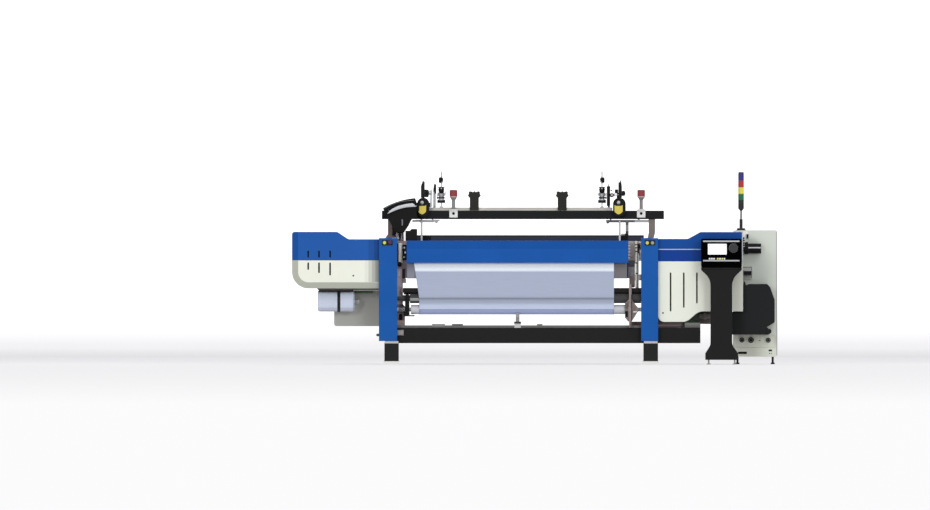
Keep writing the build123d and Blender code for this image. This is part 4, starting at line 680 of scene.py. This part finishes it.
def cloth_form():
    """The web of cloth over the breast beam, as a grid of along by across.

    Along, it follows the line fell, shoulder, bend, roll, with rounded corners, spaced evenly by length.
    Across, a point is left + share * (right - left), where left moves in by the slant below the panel. Long
    shallow ripples stand out from the face: a sum of sines across, fading in below the bend and out at the
    roll.
    """
    corners = [(-431.0, 1190.0), (-653.0, 1113.0), (-712.5, 1017.0), (-744.5, 933.0), (-744.5, 690.0),
               (-743.6, 550.0)]
    spots, along = evenly(bent([(0.0, y, z) for y, z in corners], 22.0, 9)[:, 1:], 170)
    y, z = spots.T
    share = np.linspace(0.0, 1.0, 260)
    slant = CLOTH_SLANT * np.clip((1012.0 - z) / 350.0, 0.0, 1.0)
    left = CLOTH_LEFT + slant
    x = left[:, None] + share[None, :] * (CLOTH_RIGHT - left)[:, None]
    fade = np.clip((925.0 - z) / 90.0, 0.0, 1.0) * np.clip((z - 552.0) / 60.0, 0.0, 1.0)
    wave = (np.sin(x * 0.011 + z[:, None] * 0.006) + 0.6 * np.sin(x * 0.023 - z[:, None] * 0.011 + 1.3)
            + 0.35 * np.sin(x * 0.047 + z[:, None] * 0.017 + 0.4))
    crease = 1.6 * np.exp(-((z - 662.0) / 5.0) ** 2)
    out = -0.75 * (wave + 1.95) * fade[:, None] - crease[:, None]
    points = np.stack([x, np.broadcast_to(y[:, None], x.shape) + out, np.broadcast_to(z[:, None], x.shape)], -1)
    flat = np.stack([x - CLOTH_LEFT, np.broadcast_to(along[:, None], x.shape)], -1) / 1000.0
    area = float(np.sum(np.diff(along) * (CLOTH_RIGHT - (left[1:] + left[:-1]) / 2))) / 1e6
    return points.reshape(-1, 3), grid_quads(*x.shape), flat.reshape(-1, 2), along[-1] / 1000.0, area


def winding_form():
    """The wound cloth: the radius grows evenly with the angle over three turns, as a grid of angle by width."""
    angle = np.linspace(0.0, 6 * math.pi, 217)
    radius = 47.5 + 2.1 * angle / angle[-1]
    x = np.linspace(CLOTH_LEFT + CLOTH_SLANT, CLOTH_RIGHT, 60)
    edge = 1.2 * np.sin(angle * 1.7)
    x = x[None, :] + edge[:, None] * (np.abs(np.linspace(-1, 1, 60)) ** 8)[None, :]
    y = np.broadcast_to((-690.0 - radius * np.cos(angle))[:, None], x.shape)
    z = np.broadcast_to((549.5 + radius * np.sin(angle))[:, None], x.shape)
    length = float(np.sum(np.linalg.norm(np.diff(np.stack([y[:, 0], z[:, 0]], -1), axis=0), axis=1)))
    flat = np.stack([x - CLOTH_LEFT, np.broadcast_to((radius * angle)[:, None], x.shape)], -1) / 1000.0
    return np.stack([x, y, z], -1).reshape(-1, 3), grid_quads(*x.shape), flat.reshape(-1, 2), length / 1000.0


def cloth_piece(name, points, faces, flat, body, thickness, skin):
    """A cloth sheet with its own flat UV map, given its thickness."""
    mesh = bpy.data.meshes.new(name)
    mesh.from_pydata((points / 1000.0).tolist(), [], faces.tolist())
    layer = mesh.uv_layers.new(name="cloth")
    corners = np.empty(len(mesh.loops), dtype=np.int32)
    mesh.loops.foreach_get("vertex_index", corners)
    layer.data.foreach_set("uv", flat[corners].astype(np.float32).reshape(-1))
    mesh.materials.append(SKINS[skin])
    mesh.shade_smooth()
    piece = put_in(name, mesh)
    thick = piece.modifiers.new("thickness", "SOLIDIFY")
    thick.thickness = thickness
    thick.offset = 0.0
    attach(piece, body)
    return piece


cloth_points, cloth_faces, cloth_flat, cloth_length, cloth_area = cloth_form()
cloth_web = cloth_piece("cloth_web", cloth_points, cloth_faces, cloth_flat, ROOT, 0.0011, "loom_cloth")
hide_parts("cloth_sheet")
winding_points, winding_faces, winding_flat, winding_length = winding_form()
cloth_winding = cloth_piece("cloth_winding", winding_points, winding_faces, winding_flat, "cloth_roller",
                            0.0006, "wound_cloth")
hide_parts("cloth_roll")


# Small hardware

metal("screw_steel", "", (178, 180, 184), (40, 40, 40), 0.3)
metal("dark_steel", "", (80, 81, 85), (40, 40, 40), 0.45, shine=0.6)
metal("bright_steel", "", (214, 215, 219), (3, 60, 60), 0.35, lines=0.06, shine=0.5)
paint("sleeve_white", "", (222, 223, 226), roughness=0.4, tone=0.2, lint=0.0)
metal("silver_plate", "", (214, 216, 220), (3, 90, 90), 0.4, lines=0.05, shine=0.2)
paint("rubber_black", "", (20, 20, 21), roughness=0.62, grain=600.0, bump=0.3, lint=0.05, specular=0.1)
paint("seam_dark", "", (38, 40, 46), roughness=0.6, lint=0.0)
paint("seam_pale", "", (182, 185, 177), roughness=0.5, lint=0.0)
paint("trim_pale", "", (170, 190, 224), roughness=0.3, lint=0.0)
paint("ring_grey", "", (132, 134, 132), roughness=0.5, lint=0.0)


def turned_over(profile):
    """A (radius, height) profile for the same form standing out the other way."""
    return profile[::-1] * (1, -1)


def cap_screw(centre, radius, height, axis="y", out=-1):
    """A socket head screw that stands out along an axis: a rounded drum whose end dips into a six-sided socket.

    The profile is (radius, height) pairs, up the side, over a small round and in along the end to the socket.
    """
    r, h = radius, height
    profile = np.array([(r, -0.6 * h), (r, 0.72 * h), (0.93 * r, 0.93 * h), (0.82 * r, h), (0.5 * r, h),
                        (0.46 * r, 0.45 * h)])
    return turned(centre, axis, profile if out > 0 else turned_over(profile), 18)


def hex_bolt(centre, axis, radius, height):
    """A hexagon head on a round washer, standing out towards the axis's low end: six sides over twenty."""
    washer = np.array([(1.25 * radius, -0.5 * height), (1.25 * radius, 0.2 * height)])
    head = np.array([(radius, 0.0), (radius, 0.85 * height), (0.84 * radius, height)])
    return join_forms([turned(centre, axis, turned_over(profile), sides)
                       for profile, sides in ((washer, 20), (head, 6))])


def drum(centre, axis, radius, low, high, edge=1.5, sides=32):
    """A turned drum with a small quarter-round at both rims."""
    e = edge
    profile = [(radius - e, low), (radius - 0.3 * e, low + 0.3 * e), (radius, low + e), (radius, high - e),
               (radius - 0.3 * e, high - 0.3 * e), (radius - e, high)]
    return turned(centre, axis, profile, sides)


def ribbed_drum(centre, axis, radius, low, high, ribs, depth, sides=40):
    """A turned drum with even round ribs along its length: radius - depth * (1 + cos) / 2 between its rims."""
    height = np.linspace(low, high, ribs * 8 + 1)
    share = (height - low) / (high - low)
    swell = radius - depth * (1 + np.cos(2 * math.pi * ribs * share)) / 2
    return turned(centre, axis, np.stack([swell, height], -1), sides)


def ball(centre, radius, axis="y"):
    """A ball: at angle t the profile is (radius * cos t, radius * sin t)."""
    t = np.linspace(-0.48 * math.pi, 0.48 * math.pi, 13)
    return turned(centre, axis, np.stack([radius * np.cos(t), radius * np.sin(t)], -1), 24)


def hoop(centre, axis, radius, wire, sides=32):
    """A ring of round wire: the point (R + r cos s) goes round the axis at height r sin s, closed both ways."""
    a, b, c = AXES[axis]
    t = np.linspace(0, 2 * math.pi, sides, endpoint=False)[:, None]
    s = np.linspace(0, 2 * math.pi, 10, endpoint=False)[None, :]
    reach = (radius + wire * np.cos(s))[..., None]
    points = (np.asarray(centre, float) + reach * (np.cos(t)[..., None] * a + np.sin(t)[..., None] * b)
              + (wire * np.sin(s))[..., None] * c)
    return points.reshape(-1, 3), grid_quads(sides, 10, True, True).tolist()


def gear(centre, axis, radius, low, high, teeth, depth):
    """A spur gear: the radius at angle t is r + depth * tanh(3 cos(teeth * t)) / 2, between two flat faces."""
    a, b, c = AXES[axis]
    sides = teeth * 8
    t = np.linspace(0, 2 * math.pi, sides, endpoint=False)
    r = radius + depth * np.tanh(3 * np.cos(teeth * t)) / 2
    ring = (r * np.cos(t))[:, None] * a + (r * np.sin(t))[:, None] * b
    points = np.asarray(centre, float) + ring[None] + np.array([low, high])[:, None, None] * c
    return points.reshape(-1, 3), tube_faces(2, sides)


def spring(start, end, radius, wire, turns, sides=6):
    """A coil spring: a helix of even turns about the line from start to end, with a round wire along it."""
    start, end = np.asarray(start, float), np.asarray(end, float)
    run = end - start
    side, other = square_to([run / np.linalg.norm(run)])
    t = np.linspace(0, 1, turns * 14 + 1)
    spin = 2 * math.pi * turns * t
    line = start + t[:, None] * run + radius * (np.cos(spin)[:, None] * side + np.sin(spin)[:, None] * other)
    return bar(line, wire, sides)


def ribbon(top, bottom, y, crown=0.0, steps=40):
    """A plate between two edge lines in X and Z that run the same way, standing between two values of Y.

    With u along and v across, a point is (1 - v) * bottom(u) + v * top(u), its front pushed out by the crown
    times sin(pi * v). The two lines are read evenly by their share of length.
    """
    low, high = evenly(bottom, steps)[0], evenly(top, steps)[0]
    v = np.linspace(0.0, 1.0, 9)
    face = (1 - v)[None, :, None] * low[:, None] + v[None, :, None] * high[:, None]
    front = y[0] - crown * np.sin(math.pi * v)
    front = np.broadcast_to(front[None, :], face.shape[:2])
    back = np.full(face.shape[:2], y[1])
    loop_x = np.concatenate([face[..., 0], face[:, ::-1, 0]], 1)
    loop_z = np.concatenate([face[..., 1], face[:, ::-1, 1]], 1)
    loop_y = np.concatenate([front, back[:, ::-1]], 1)
    return np.stack([loop_x, loop_y, loop_z], -1).reshape(-1, 3), tube_faces(steps, loop_x.shape[1])


def front_screws(name, y, radius, height, spots, material):
    """Cap screws of one size at places in X and Z, standing out to the front."""
    fittings(name, [cap_screw((x, y, z), radius, height) for x, z in spots], material)


def plates(*rows):
    """Plates, each given as (x, y, z, width, height, depth, corner, edge)."""
    return [plate(row[:3], *row[3:]) for row in rows]


# Control head, column and dial

def screen_material():
    """A lit screen with a grey mark near each corner and three pale lines."""
    tree, shader, where = start_material("screen_glass")
    marks = [(x - 9, x + 9, z - 5, z + 5, (176, 182, 190), 2) for z in (1192, 1117) for x in (1748, 1903)]
    marks += [(1764, 1764 + length, z - 1.5, z + 1.5, (214, 220, 228)) for z, length in (
        (1170, 70), (1154, 96), (1138, 52))]
    colour = (236, 240, 244)
    for mask, shade in mark_masks(tree, where, marks, (-960, -940)):
        colour = mixed(tree, mask, colour, shade)
    set_inputs(tree, shader, Base_Color=colour, Emission_Color=colour, Emission_Strength=0.35, Roughness=0.12)


screen_material()
fittings("screen", plates((1826, -945.5, 1154, 188, 107, 3.0, 3.5, 0.8)), "screen_glass")
fittings("screen_bezel", plates(*[(1826, -949.0, z, 208, 5, 2.4, 2.2, 1.0) for z in (1213.5, 1094.5)],
                                *[(x, -949.0, 1154, 5, 122, 2.4, 2.2, 1.0) for x in (1726, 1926)]),
         "head_black")
fittings("dial_cap", [drum((1987, -974, 1165), "y", 19, 0.6, 6, 1.2)], "rubber_black",
         "control_dial")
fittings("dial_ring", [turned((1987, -951.0, 1165), "y", [(46, -1.2), (46.5, -0.4), (46.5, 1.0)], 48)],
         "dark_steel")
front_screws("head_screws", -950, 4.2, 2.4, [(x, z) for x in (1676, 2059) for z in (985, 1248)],
             "head_black")
fittings("column_seam", plates((1867.5, -929.6, 962, 396, 4, 1.4, 1.8, 0.6)), "seam_dark")
front_screws("column_screws", -930, 5, 3, [(1728, 72), (2012, 72), (1782, 760), (1953, 760)],
             "column_black")

# Head mount beside the cabinet: knuckles and collars on the swivel

fittings("swivel_knuckles", [drum((2086, -700, z), "z", radius, low, high, 2) for z, radius, low, high in (
    (1262, 12, -9, 9), (1238, 15, -7, 9), (1214, 11, -8, 8), (1192, 14, -8, 8))], "rubber_black")
fittings("swivel_collars", [hoop((2086, -700, z), "z", 12, 3.4) for z in (1250, 1226, 1203, 1180)]
         + [ball((2082, -716, 1228), 7)], "bright_steel")

# Cover hardware: seams, screws, trim, plugs and the rings round the buttons

front_screws("left_cover_screws", -760, 4.5, 2.4, [(-1600, 1225), (-1600, 1070)],
             "left_cover_blue")
front_screws("right_cover_screws", -740, 4.5, 2.4, [(2050, 1290), (1270, 1225), (1270, 1060)],
             "right_cover_blue")
fittings("white_cover_plugs", [drum(spot, "y", 8, -2.4, 1, 1.5) for spot in (
    (-1814, -760, 888), (1283, -740, 515))], "rubber_black")
fittings("right_cover_trim", plates((1449, -739.6, 1151, 424, 9, 2.2, 1.5, 0.9)), "trim_pale")
fittings("cover_seams", plates((-1962, -759.4, 1042, 802, 2.6, 0.9, 1.2, 0.3),
                               (1656, -739.4, 1032, 836, 2.6, 0.9, 1.2, 0.3)), "seam_dark")
front_screws("post_screws", -800, 5, 2.4,
             [(x, z) for x in (-1540, -1393, 1080, 1219) for z in (262, 640, 1010)],
             "post_blue_left")
fittings("button_rings", [turned((x, -804, z), "y", [(r + 4.5, -1.5), (r + 5, -0.5), (r + 5, 0.8)], 36)
                          for x, z, r in ((-1502, 1218, 17), (-1447, 1222, 19), (1126, 1216, 17),
                                          (1178, 1216, 17))], "seam_dark")
fittings("post_side_knob", [drum((-1558, -758, 295), "x", 13, -22, 2, 3),
                            hex_bolt((-1580, -758, 295), "x", 8, 6)], "dark_steel")
front_screws("panel_screws", -780, 4.5, 2.2, [(x, z) for x in (-1262, 916) for z in (1034, 1221)],
             "panel_blue")

# Crossbeam: the clip on its rail

fittings("rail_clip", [*plates((-962, -700, 392, 130, 26, 10, 5, 3)),
                       *[cap_screw((x, -710, 392), 5, 3) for x in (-1008, -916)]], "ring_grey")

# Motor

MOTOR = (-1986.5, -470, 635)
fittings("motor_fins", [ribbed_drum(MOTOR, "x", 108.6, -150, -2, 14, 2.6, 64)], "motor_paint")
fittings("motor_fan_cover", [turned(MOTOR, "x", [(60, -184), (84, -183.5), (91.5, -181.5)], 48),
                             turned(MOTOR, "x", [(14, -184.4), (20, -184), (20, -182)], 24)],
         "dark_steel")
fittings("motor_end_ring", [turned(MOTOR, "x", [(92, 158), (98, 166), (98, 176), (90, 184), (40, 184.4)], 48)],
         "motor_paint")
bolt_angles = [math.radians(45 + 90 * turn) for turn in range(4)]
bolt_spots = [(-1803.5, MOTOR[1] + 76 * math.cos(t), MOTOR[2] + 76 * math.sin(t)) for t in bolt_angles]
fittings("motor_bolts", [cap_screw(spot, 6, 5, "x", 1) for spot in bolt_spots], "screw_steel")
fittings("motor_strap_bolt", [hex_bolt((-1959, -578, 706), "y", 8, 7),
                              bar([(-1959, -578, 690), (-1959, -578, 735)], 5)], "rubber_black")

# Front linkages and rollers

fittings("press_rollers", [drum((0, -655, 712), "x", 13, -1310, 1096, 2, 24)], "rear_black")
fittings("breast_bracket", plates((-1306, -602, 836, 40, 46, 12, 4, 2)), "rose_cast")
fittings("left_boss_rings", [hoop((-1335, -752, 545), "y", 21, 5), drum((-1335, -748, 545), "y", 12, -6, 6, 2)],
         "dark_steel")

# Top beam fittings

CORNERS = [(x, z) for x in (-1, 1) for z in (-1, 1)]
fittings("lamp_rings", [turned((x, -74, 1669), "z", [(33, 0.5), (36, -2.5), (33.5, -5.0)], 40) for x in LAMP_X]
         + [turned((x, -74, 1738), "z", [(30, -4), (30, 4.5), (27, 6.0)], 40) for x in LAMP_X],
         "stand_grey")
fittings("stand_bolts", [hex_bolt((x + 31 * right, -65, 1507.5 + 31 * up), "y", 4, 3) for x in LAMP_X
                         for right, up in CORNERS], "stand_grey")
front_screws("crown_bolts", -39, 5.5, 4, [(x + 28 * right, 1610 + 30 * up) for x in (-604, 275)
                                          for right, up in CORNERS], "crown_olive")
fittings("housing_bolts", [cap_screw((x, -132, 1502), 4, 2.2) for x in TENSIONER_X]
         + [ball((x, -139, 1617), 13) for x in TENSIONER_X], "bright_steel")
fittings("selector_plate", [ribbon(
    [(-1472, 1508), (-1450, 1534), (-1420, 1557), (-1367, 1583), (-1287, 1603), (-1222, 1611), (-1206, 1600)],
    [(-1470, 1504), (-1447, 1514), (-1387, 1541), (-1340, 1557), (-1287, 1569), (-1212, 1575), (-1184, 1576)],
    (-241.5, -238.5), 2.0)], "silver_plate")
fittings("hood_lines", [bar(bent([(-1500, -238, 1560), (-1440, -239, 1592), (-1340, -239, 1628),
                                  (-1205, -238, 1642)], 30), 2.6)], "ring_grey")
fittings("selector_bracket", plates(
    (-1407, -62, 1370, 36, 170, 14, 5, 2), (-1398, -64, 1318, 46, 46, 24, 8, 3),
    (-1170, -100, 1572, 30, 84, 40, 8, 3), (-1350, -92, 1276, 74, 92, 10, 6, 2)),
         "cutter_black")
fittings("finger_guides", [*plates((-1309, -168, 1262, 13, 130, 8, 3, 1)),
                           hoop((-1366, -158, 1262), "y", 8, 2.5),
                           *plates((-1378, -150, 1280, 7, 84, 6, 2, 1))], "silver_plate")


def leno_fittings(x, hand):
    """What hangs on one thread guide rod: a domed cap, thin rods, toothed wheels, washers and a side arm."""
    dark = [turned((x, 0, 1838), "z", [(10, 0), (20, 4), (21, 10), (17, 20), (9, 27), (3, 29)], 28),
            ball((x - 17 * hand, -6, 1822), 7, "z"),
            turned((x, 0, 1745), "z", [(12, -30), (14, -12), (30, -8), (30, 4), (24, 18), (12, 28)], 28),
            gear((x, 0, 1664), "z", 30, -8, 8, 14, 9),
            drum((x - 18, -14, 1621), "z", 14, -9, 9, 3), drum((x + 16, -14, 1621), "z", 14, -9, 9, 3),
            drum((x - 38 * hand, -22, 1662), "y", 9, -8, 8, 2)]
    hook = bent([(x, -10, 1690), (x + 40 * hand, -22, 1690), (x + 42 * hand, -22, 1725)], 10)
    arm = bent([(x - 10 * hand, -14, 1650), (x - 40 * hand, -26, 1668), (x - 42 * hand, -26, 1712)], 12)
    bright = [ball((x + 8 * hand, -8, 1820), 6, "z"), gear((x, 0, 1694), "z", 32, -9, 9, 18, 7),
              drum((x, 0, 1643), "z", 36, -4, 4, 1), ball((x, -30, 1757), 8),
              spring((x, 0, 1884), (x, 0, 1921), 6, 1.2, 6), bar(hook, 3.4), bar(arm, 3.4)]
    return dark, bright


for side, x, hand in (("left", -934.0, 1.0), ("right", 673.0, -1.0)):
    dark_forms, bright_forms = leno_fittings(x, hand)
    fittings(side + "_leno_caps", dark_forms, "spool_black")
    fittings(side + "_leno_rods", bright_forms, "bright_steel")
    fittings(side + "_leno_thread", [ribbed_drum((x, 0, 1739.5), "z", 27.5, -21, 21, 12, 1.6, 30)],
             "rubber_black", side + "_leno_spool")

# Selvedge tensioners: left, then right as the photograph shows it, each with a block, a bright column and knobs

fittings("blade_arms", [
    ball((-1048, -96, 1714), 17), *plates((-1035, -58, 1660, 24, 176, 20, 8, 3)),
    bar([(-1094, -84, 1690), (-1030, -84, 1702)], 5),
    ball((772, -92, 1690), 13), ball((797, -92, 1702), 9), bar([(760, -84, 1680), (840, -84, 1696)], 5),
    *plates((-1005, -50, 1650, 9, 150, 8, 3, 1)),
], "bright_steel")
fittings("blade_blocks", [
    drum((-1084, -112, 1718), "y", 24, -12, 12, 4), drum((884, -112, 1706), "y", 24, -12, 12, 4),
    *plates((-1087, -58, 1708, 54, 76, 34, 12, 4), (-1047, -52, 1592, 20, 46, 16, 6, 2),
            (-994, -52, 1752, 18, 96, 14, 6, 2), (-1112, -52, 1750, 24, 150, 12, 6, 2),
            (818, -58, 1728, 34, 40, 34, 8, 3), (842, -58, 1684, 44, 60, 30, 10, 4),
            (848, -52, 1745, 22, 150, 12, 6, 2), (738, -46, 1680, 34, 200, 14, 8, 3)),
    ball((766, -88, 1737), 7), hoop((772, -92, 1690), "y", 17, 4),
], "spool_black")

# Hanging bars under the top beam and the reed cap's strips and blocks

fittings("left_hook_sleeves", [bar([(-1190, -38, 1436), (-950, -38, 1436)], 7.5),
                               bar([(-1150, -42, 1423), (-1010, -42, 1423)], 5),
                               bar([(-1131, -52, 1436), (-1131, -52, 1262)], 9.5)],
         "sleeve_white")
fittings("cap_strips", plates(*[(x, -311, 1259, 18, 60, 6, 3, 2) for x in (-1131, 850)]), "sleeve_white",
         "sley")
fittings("cap_blocks", plates((896, -311, 1262, 70, 56, 8, 5, 2), (-1076, -311, 1262, 74, 54, 8, 5, 2)),
         "rubber_black", "sley")
fittings("right_hook_sleeves", [bar([(712, -38, 1434), (1140, -38, 1434)], 8.5),
                                bar([(924, -52, 1425), (924, -52, 1286)], 3)], "ring_grey")
fittings("right_hook_rod", [bar([(850, -52, 1434), (850, -52, 1250)], 9.5)], "sleeve_white")

# Black plates inside the left covers, just behind their slots: painted shade for the dark inside the covers

fittings("slot_painted_shade", plates(*[(-2160, -738, z, 330, height, 8, 12, 3) for z, height in (
    (1104, 104), (952, 150))]), "rubber_black")

# Cabinet: rings on the knobs, a white strip on the arm as a painted highlight, the bracket's frame and the
# panel's lines

fittings("knob_rings", [hoop((x, -167.5, 241), "y", r, 2.2) for x, r in ((2072, 14), (2163, 16), (2336, 14))],
         "ring_grey")
# A white strip along the front of the arm's black cylinder: a painted highlight
fittings("arm_painted_highlight", plates((2196, -249, 1166, 130, 13, 4, 4, 1)), "sleeve_white")
fittings("bracket_frame", plates((2129, -152.5, 970, 86, 7, 3, 3, 1), (2169, -152.5, 916, 7, 112, 3, 3, 1)),
         "ring_grey")
fittings("cabinet_lines", plates((2199, -134.6, 173, 380, 3, 1.2, 1.4, 0.4),
                                 (2389, -134.6, 300, 3, 254, 1.2, 1.4, 0.4)), "seam_pale")

# The cabinet's back, which the photograph doesn't show: a door seam, louvres, hinges and a lock

CABINET_BACK = 460.4
fittings("cabinet_louvres", plates(
    *[(2205, CABINET_BACK, z, 230, 9, 2.4, 3, 1) for z in range(960, 1186, 25)],
    *[(2205, CABINET_BACK, z, 380, 3, 2, 1.2, 0.4) for z in (110, 1290)],
    *[(x, CABINET_BACK, 700, 3, 1180, 2, 1.2, 0.4) for x in (2015, 2395)]), "seam_dark")
fittings("cabinet_hinges", [drum((2022, 462, z), "z", 7, -30, 30, 2) for z in (250, 700, 1150)]
         + [drum((2372, 460, 720), "y", 16, -1, 8, 2)], "ring_grey")


# Floor, backdrop, light and camera, in metres

# The backdrop rises in a quarter circle from its foot. Behind the feet its glow dips into a soft grey line, a
# painted shadow, then rises to white
CURVE_FOOT, CURVE_RADIUS, CURVE_TOP = 14.0, 4.0, 16.0
FOOT_HEIGHT = 0.5
FOOT_GLOW_AND_PAINTED_SHADOW = [(0.0, 0.32), (0.014, 0.29), (0.054, 0.34), (0.094, 0.41), (0.134, 0.42), (0.25, 0.53), (0.5, 0.85)]


def backdrop():
    """A pale floor that curves up into a backdrop: flat, then a quarter circle, then straight up.

    It glows a little, more towards the front edge and above the curve's foot, so that it stays pale. Just above
    the foot the glow dips into a soft grey line, a painted shadow behind the loom, and it grows towards the
    front edge, painted shade that leaves the floor greyer near the loom.
    """
    curve = np.linspace(0, math.pi / 2, 24)
    y = np.concatenate([[-430.0, -120.0, -30.0, -8.0], CURVE_FOOT + CURVE_RADIUS * np.sin(curve),
                        [CURVE_FOOT + CURVE_RADIUS]])
    z = np.concatenate([[0.0] * 4, CURVE_RADIUS - CURVE_RADIUS * np.cos(curve), [CURVE_TOP]])
    mesh = bpy.data.meshes.new("floor")
    points = [(x, *spot) for spot in zip(y.tolist(), z.tolist()) for x in (-40.0, 40.0)]
    mesh.from_pydata(points, [], grid_quads(len(y), 2).tolist())
    mesh.shade_smooth()
    floor = put_in("floor", mesh)
    tree, shader, where = start_material("floor_pale")
    noise = add(tree, "TexNoise", Vector=where, Scale=0.7, Detail=3.0).outputs[0]
    parts = add(tree, "SeparateXYZ", Vector=where).outputs
    # The glow grows from the curve's foot to the front edge: painted shade, greyer near the loom
    near = ranged(tree, parts["Y"], (CURVE_FOOT, 0.0), (0.0, 0.19))
    far = ranged(tree, parts["Y"], (0.0, -90.0), (0.0, 0.13))
    # Above the curve's foot the glow dips into a painted shadow line, then rises to white
    foot = ramped(tree, ranged(tree, parts["Z"], (0.0, FOOT_HEIGHT)),
                  [(height / FOOT_HEIGHT, level) for height, level in FOOT_GLOW_AND_PAINTED_SHADOW])
    glow = number(tree, "ADD", number(tree, "ADD", near, far), foot)
    set_inputs(tree, shader, Base_Color=mixed(tree, noise, (176, 175, 179), (180, 179, 181)), Roughness=1.0,
               Specular_IOR_Level=0.0, Emission_Color=mixed(tree, glow, (0, 0, 0), (255, 255, 255)),
               Emission_Strength=1.0)
    mesh.materials.append(SKINS["floor_pale"])


def sun_light(name, towards, strength, spread):
    """A broad soft light from far away that shines along a direction."""
    lamp = bpy.data.lights.new(name, "SUN")
    lamp.energy = strength
    lamp.angle = math.radians(spread)
    put_in(name, lamp).rotation_euler = mathutils.Vector(towards).to_track_quat("-Z", "Y").to_euler()


backdrop()
sun_light("front_light", (0.34, 0.92, -0.20), 0.62, 12.0)
sun_light("other_front_light", (-0.34, 0.92, -0.20), 0.44, 12.0)
sun_light("key_light", (-0.27, 0.58, -0.77), 0.7, 35.0)

world = bpy.data.worlds.new("studio_air")
world.use_nodes = True
air = world.node_tree.nodes["Background"].inputs
air["Color"].default_value = (1.0, 1.0, 1.0, 1.0)
air["Strength"].default_value = 0.50
bpy.context.scene.world = world
bpy.context.scene.view_settings.view_transform = "Standard"

# The photograph's view: 9.3 m wide, without perspective and almost level
DISTANCE = 450.0
VIEW_WIDTH = 9.3
RISE = math.radians(0.25)
AIM = mathutils.Vector((-0.697, -0.8, 1.095))
lens = bpy.data.cameras.new("camera")
lens.type = "ORTHO"
lens.ortho_scale = VIEW_WIDTH
lens.clip_start = 10.0
lens.clip_end = 2000.0
camera = put_in("camera", lens)
camera.location = AIM + DISTANCE * mathutils.Vector((0.0, -math.cos(RISE), math.sin(RISE)))
camera.rotation_euler = (math.radians(90.0) - RISE, 0.0, 0.0)
bpy.context.scene.camera = camera
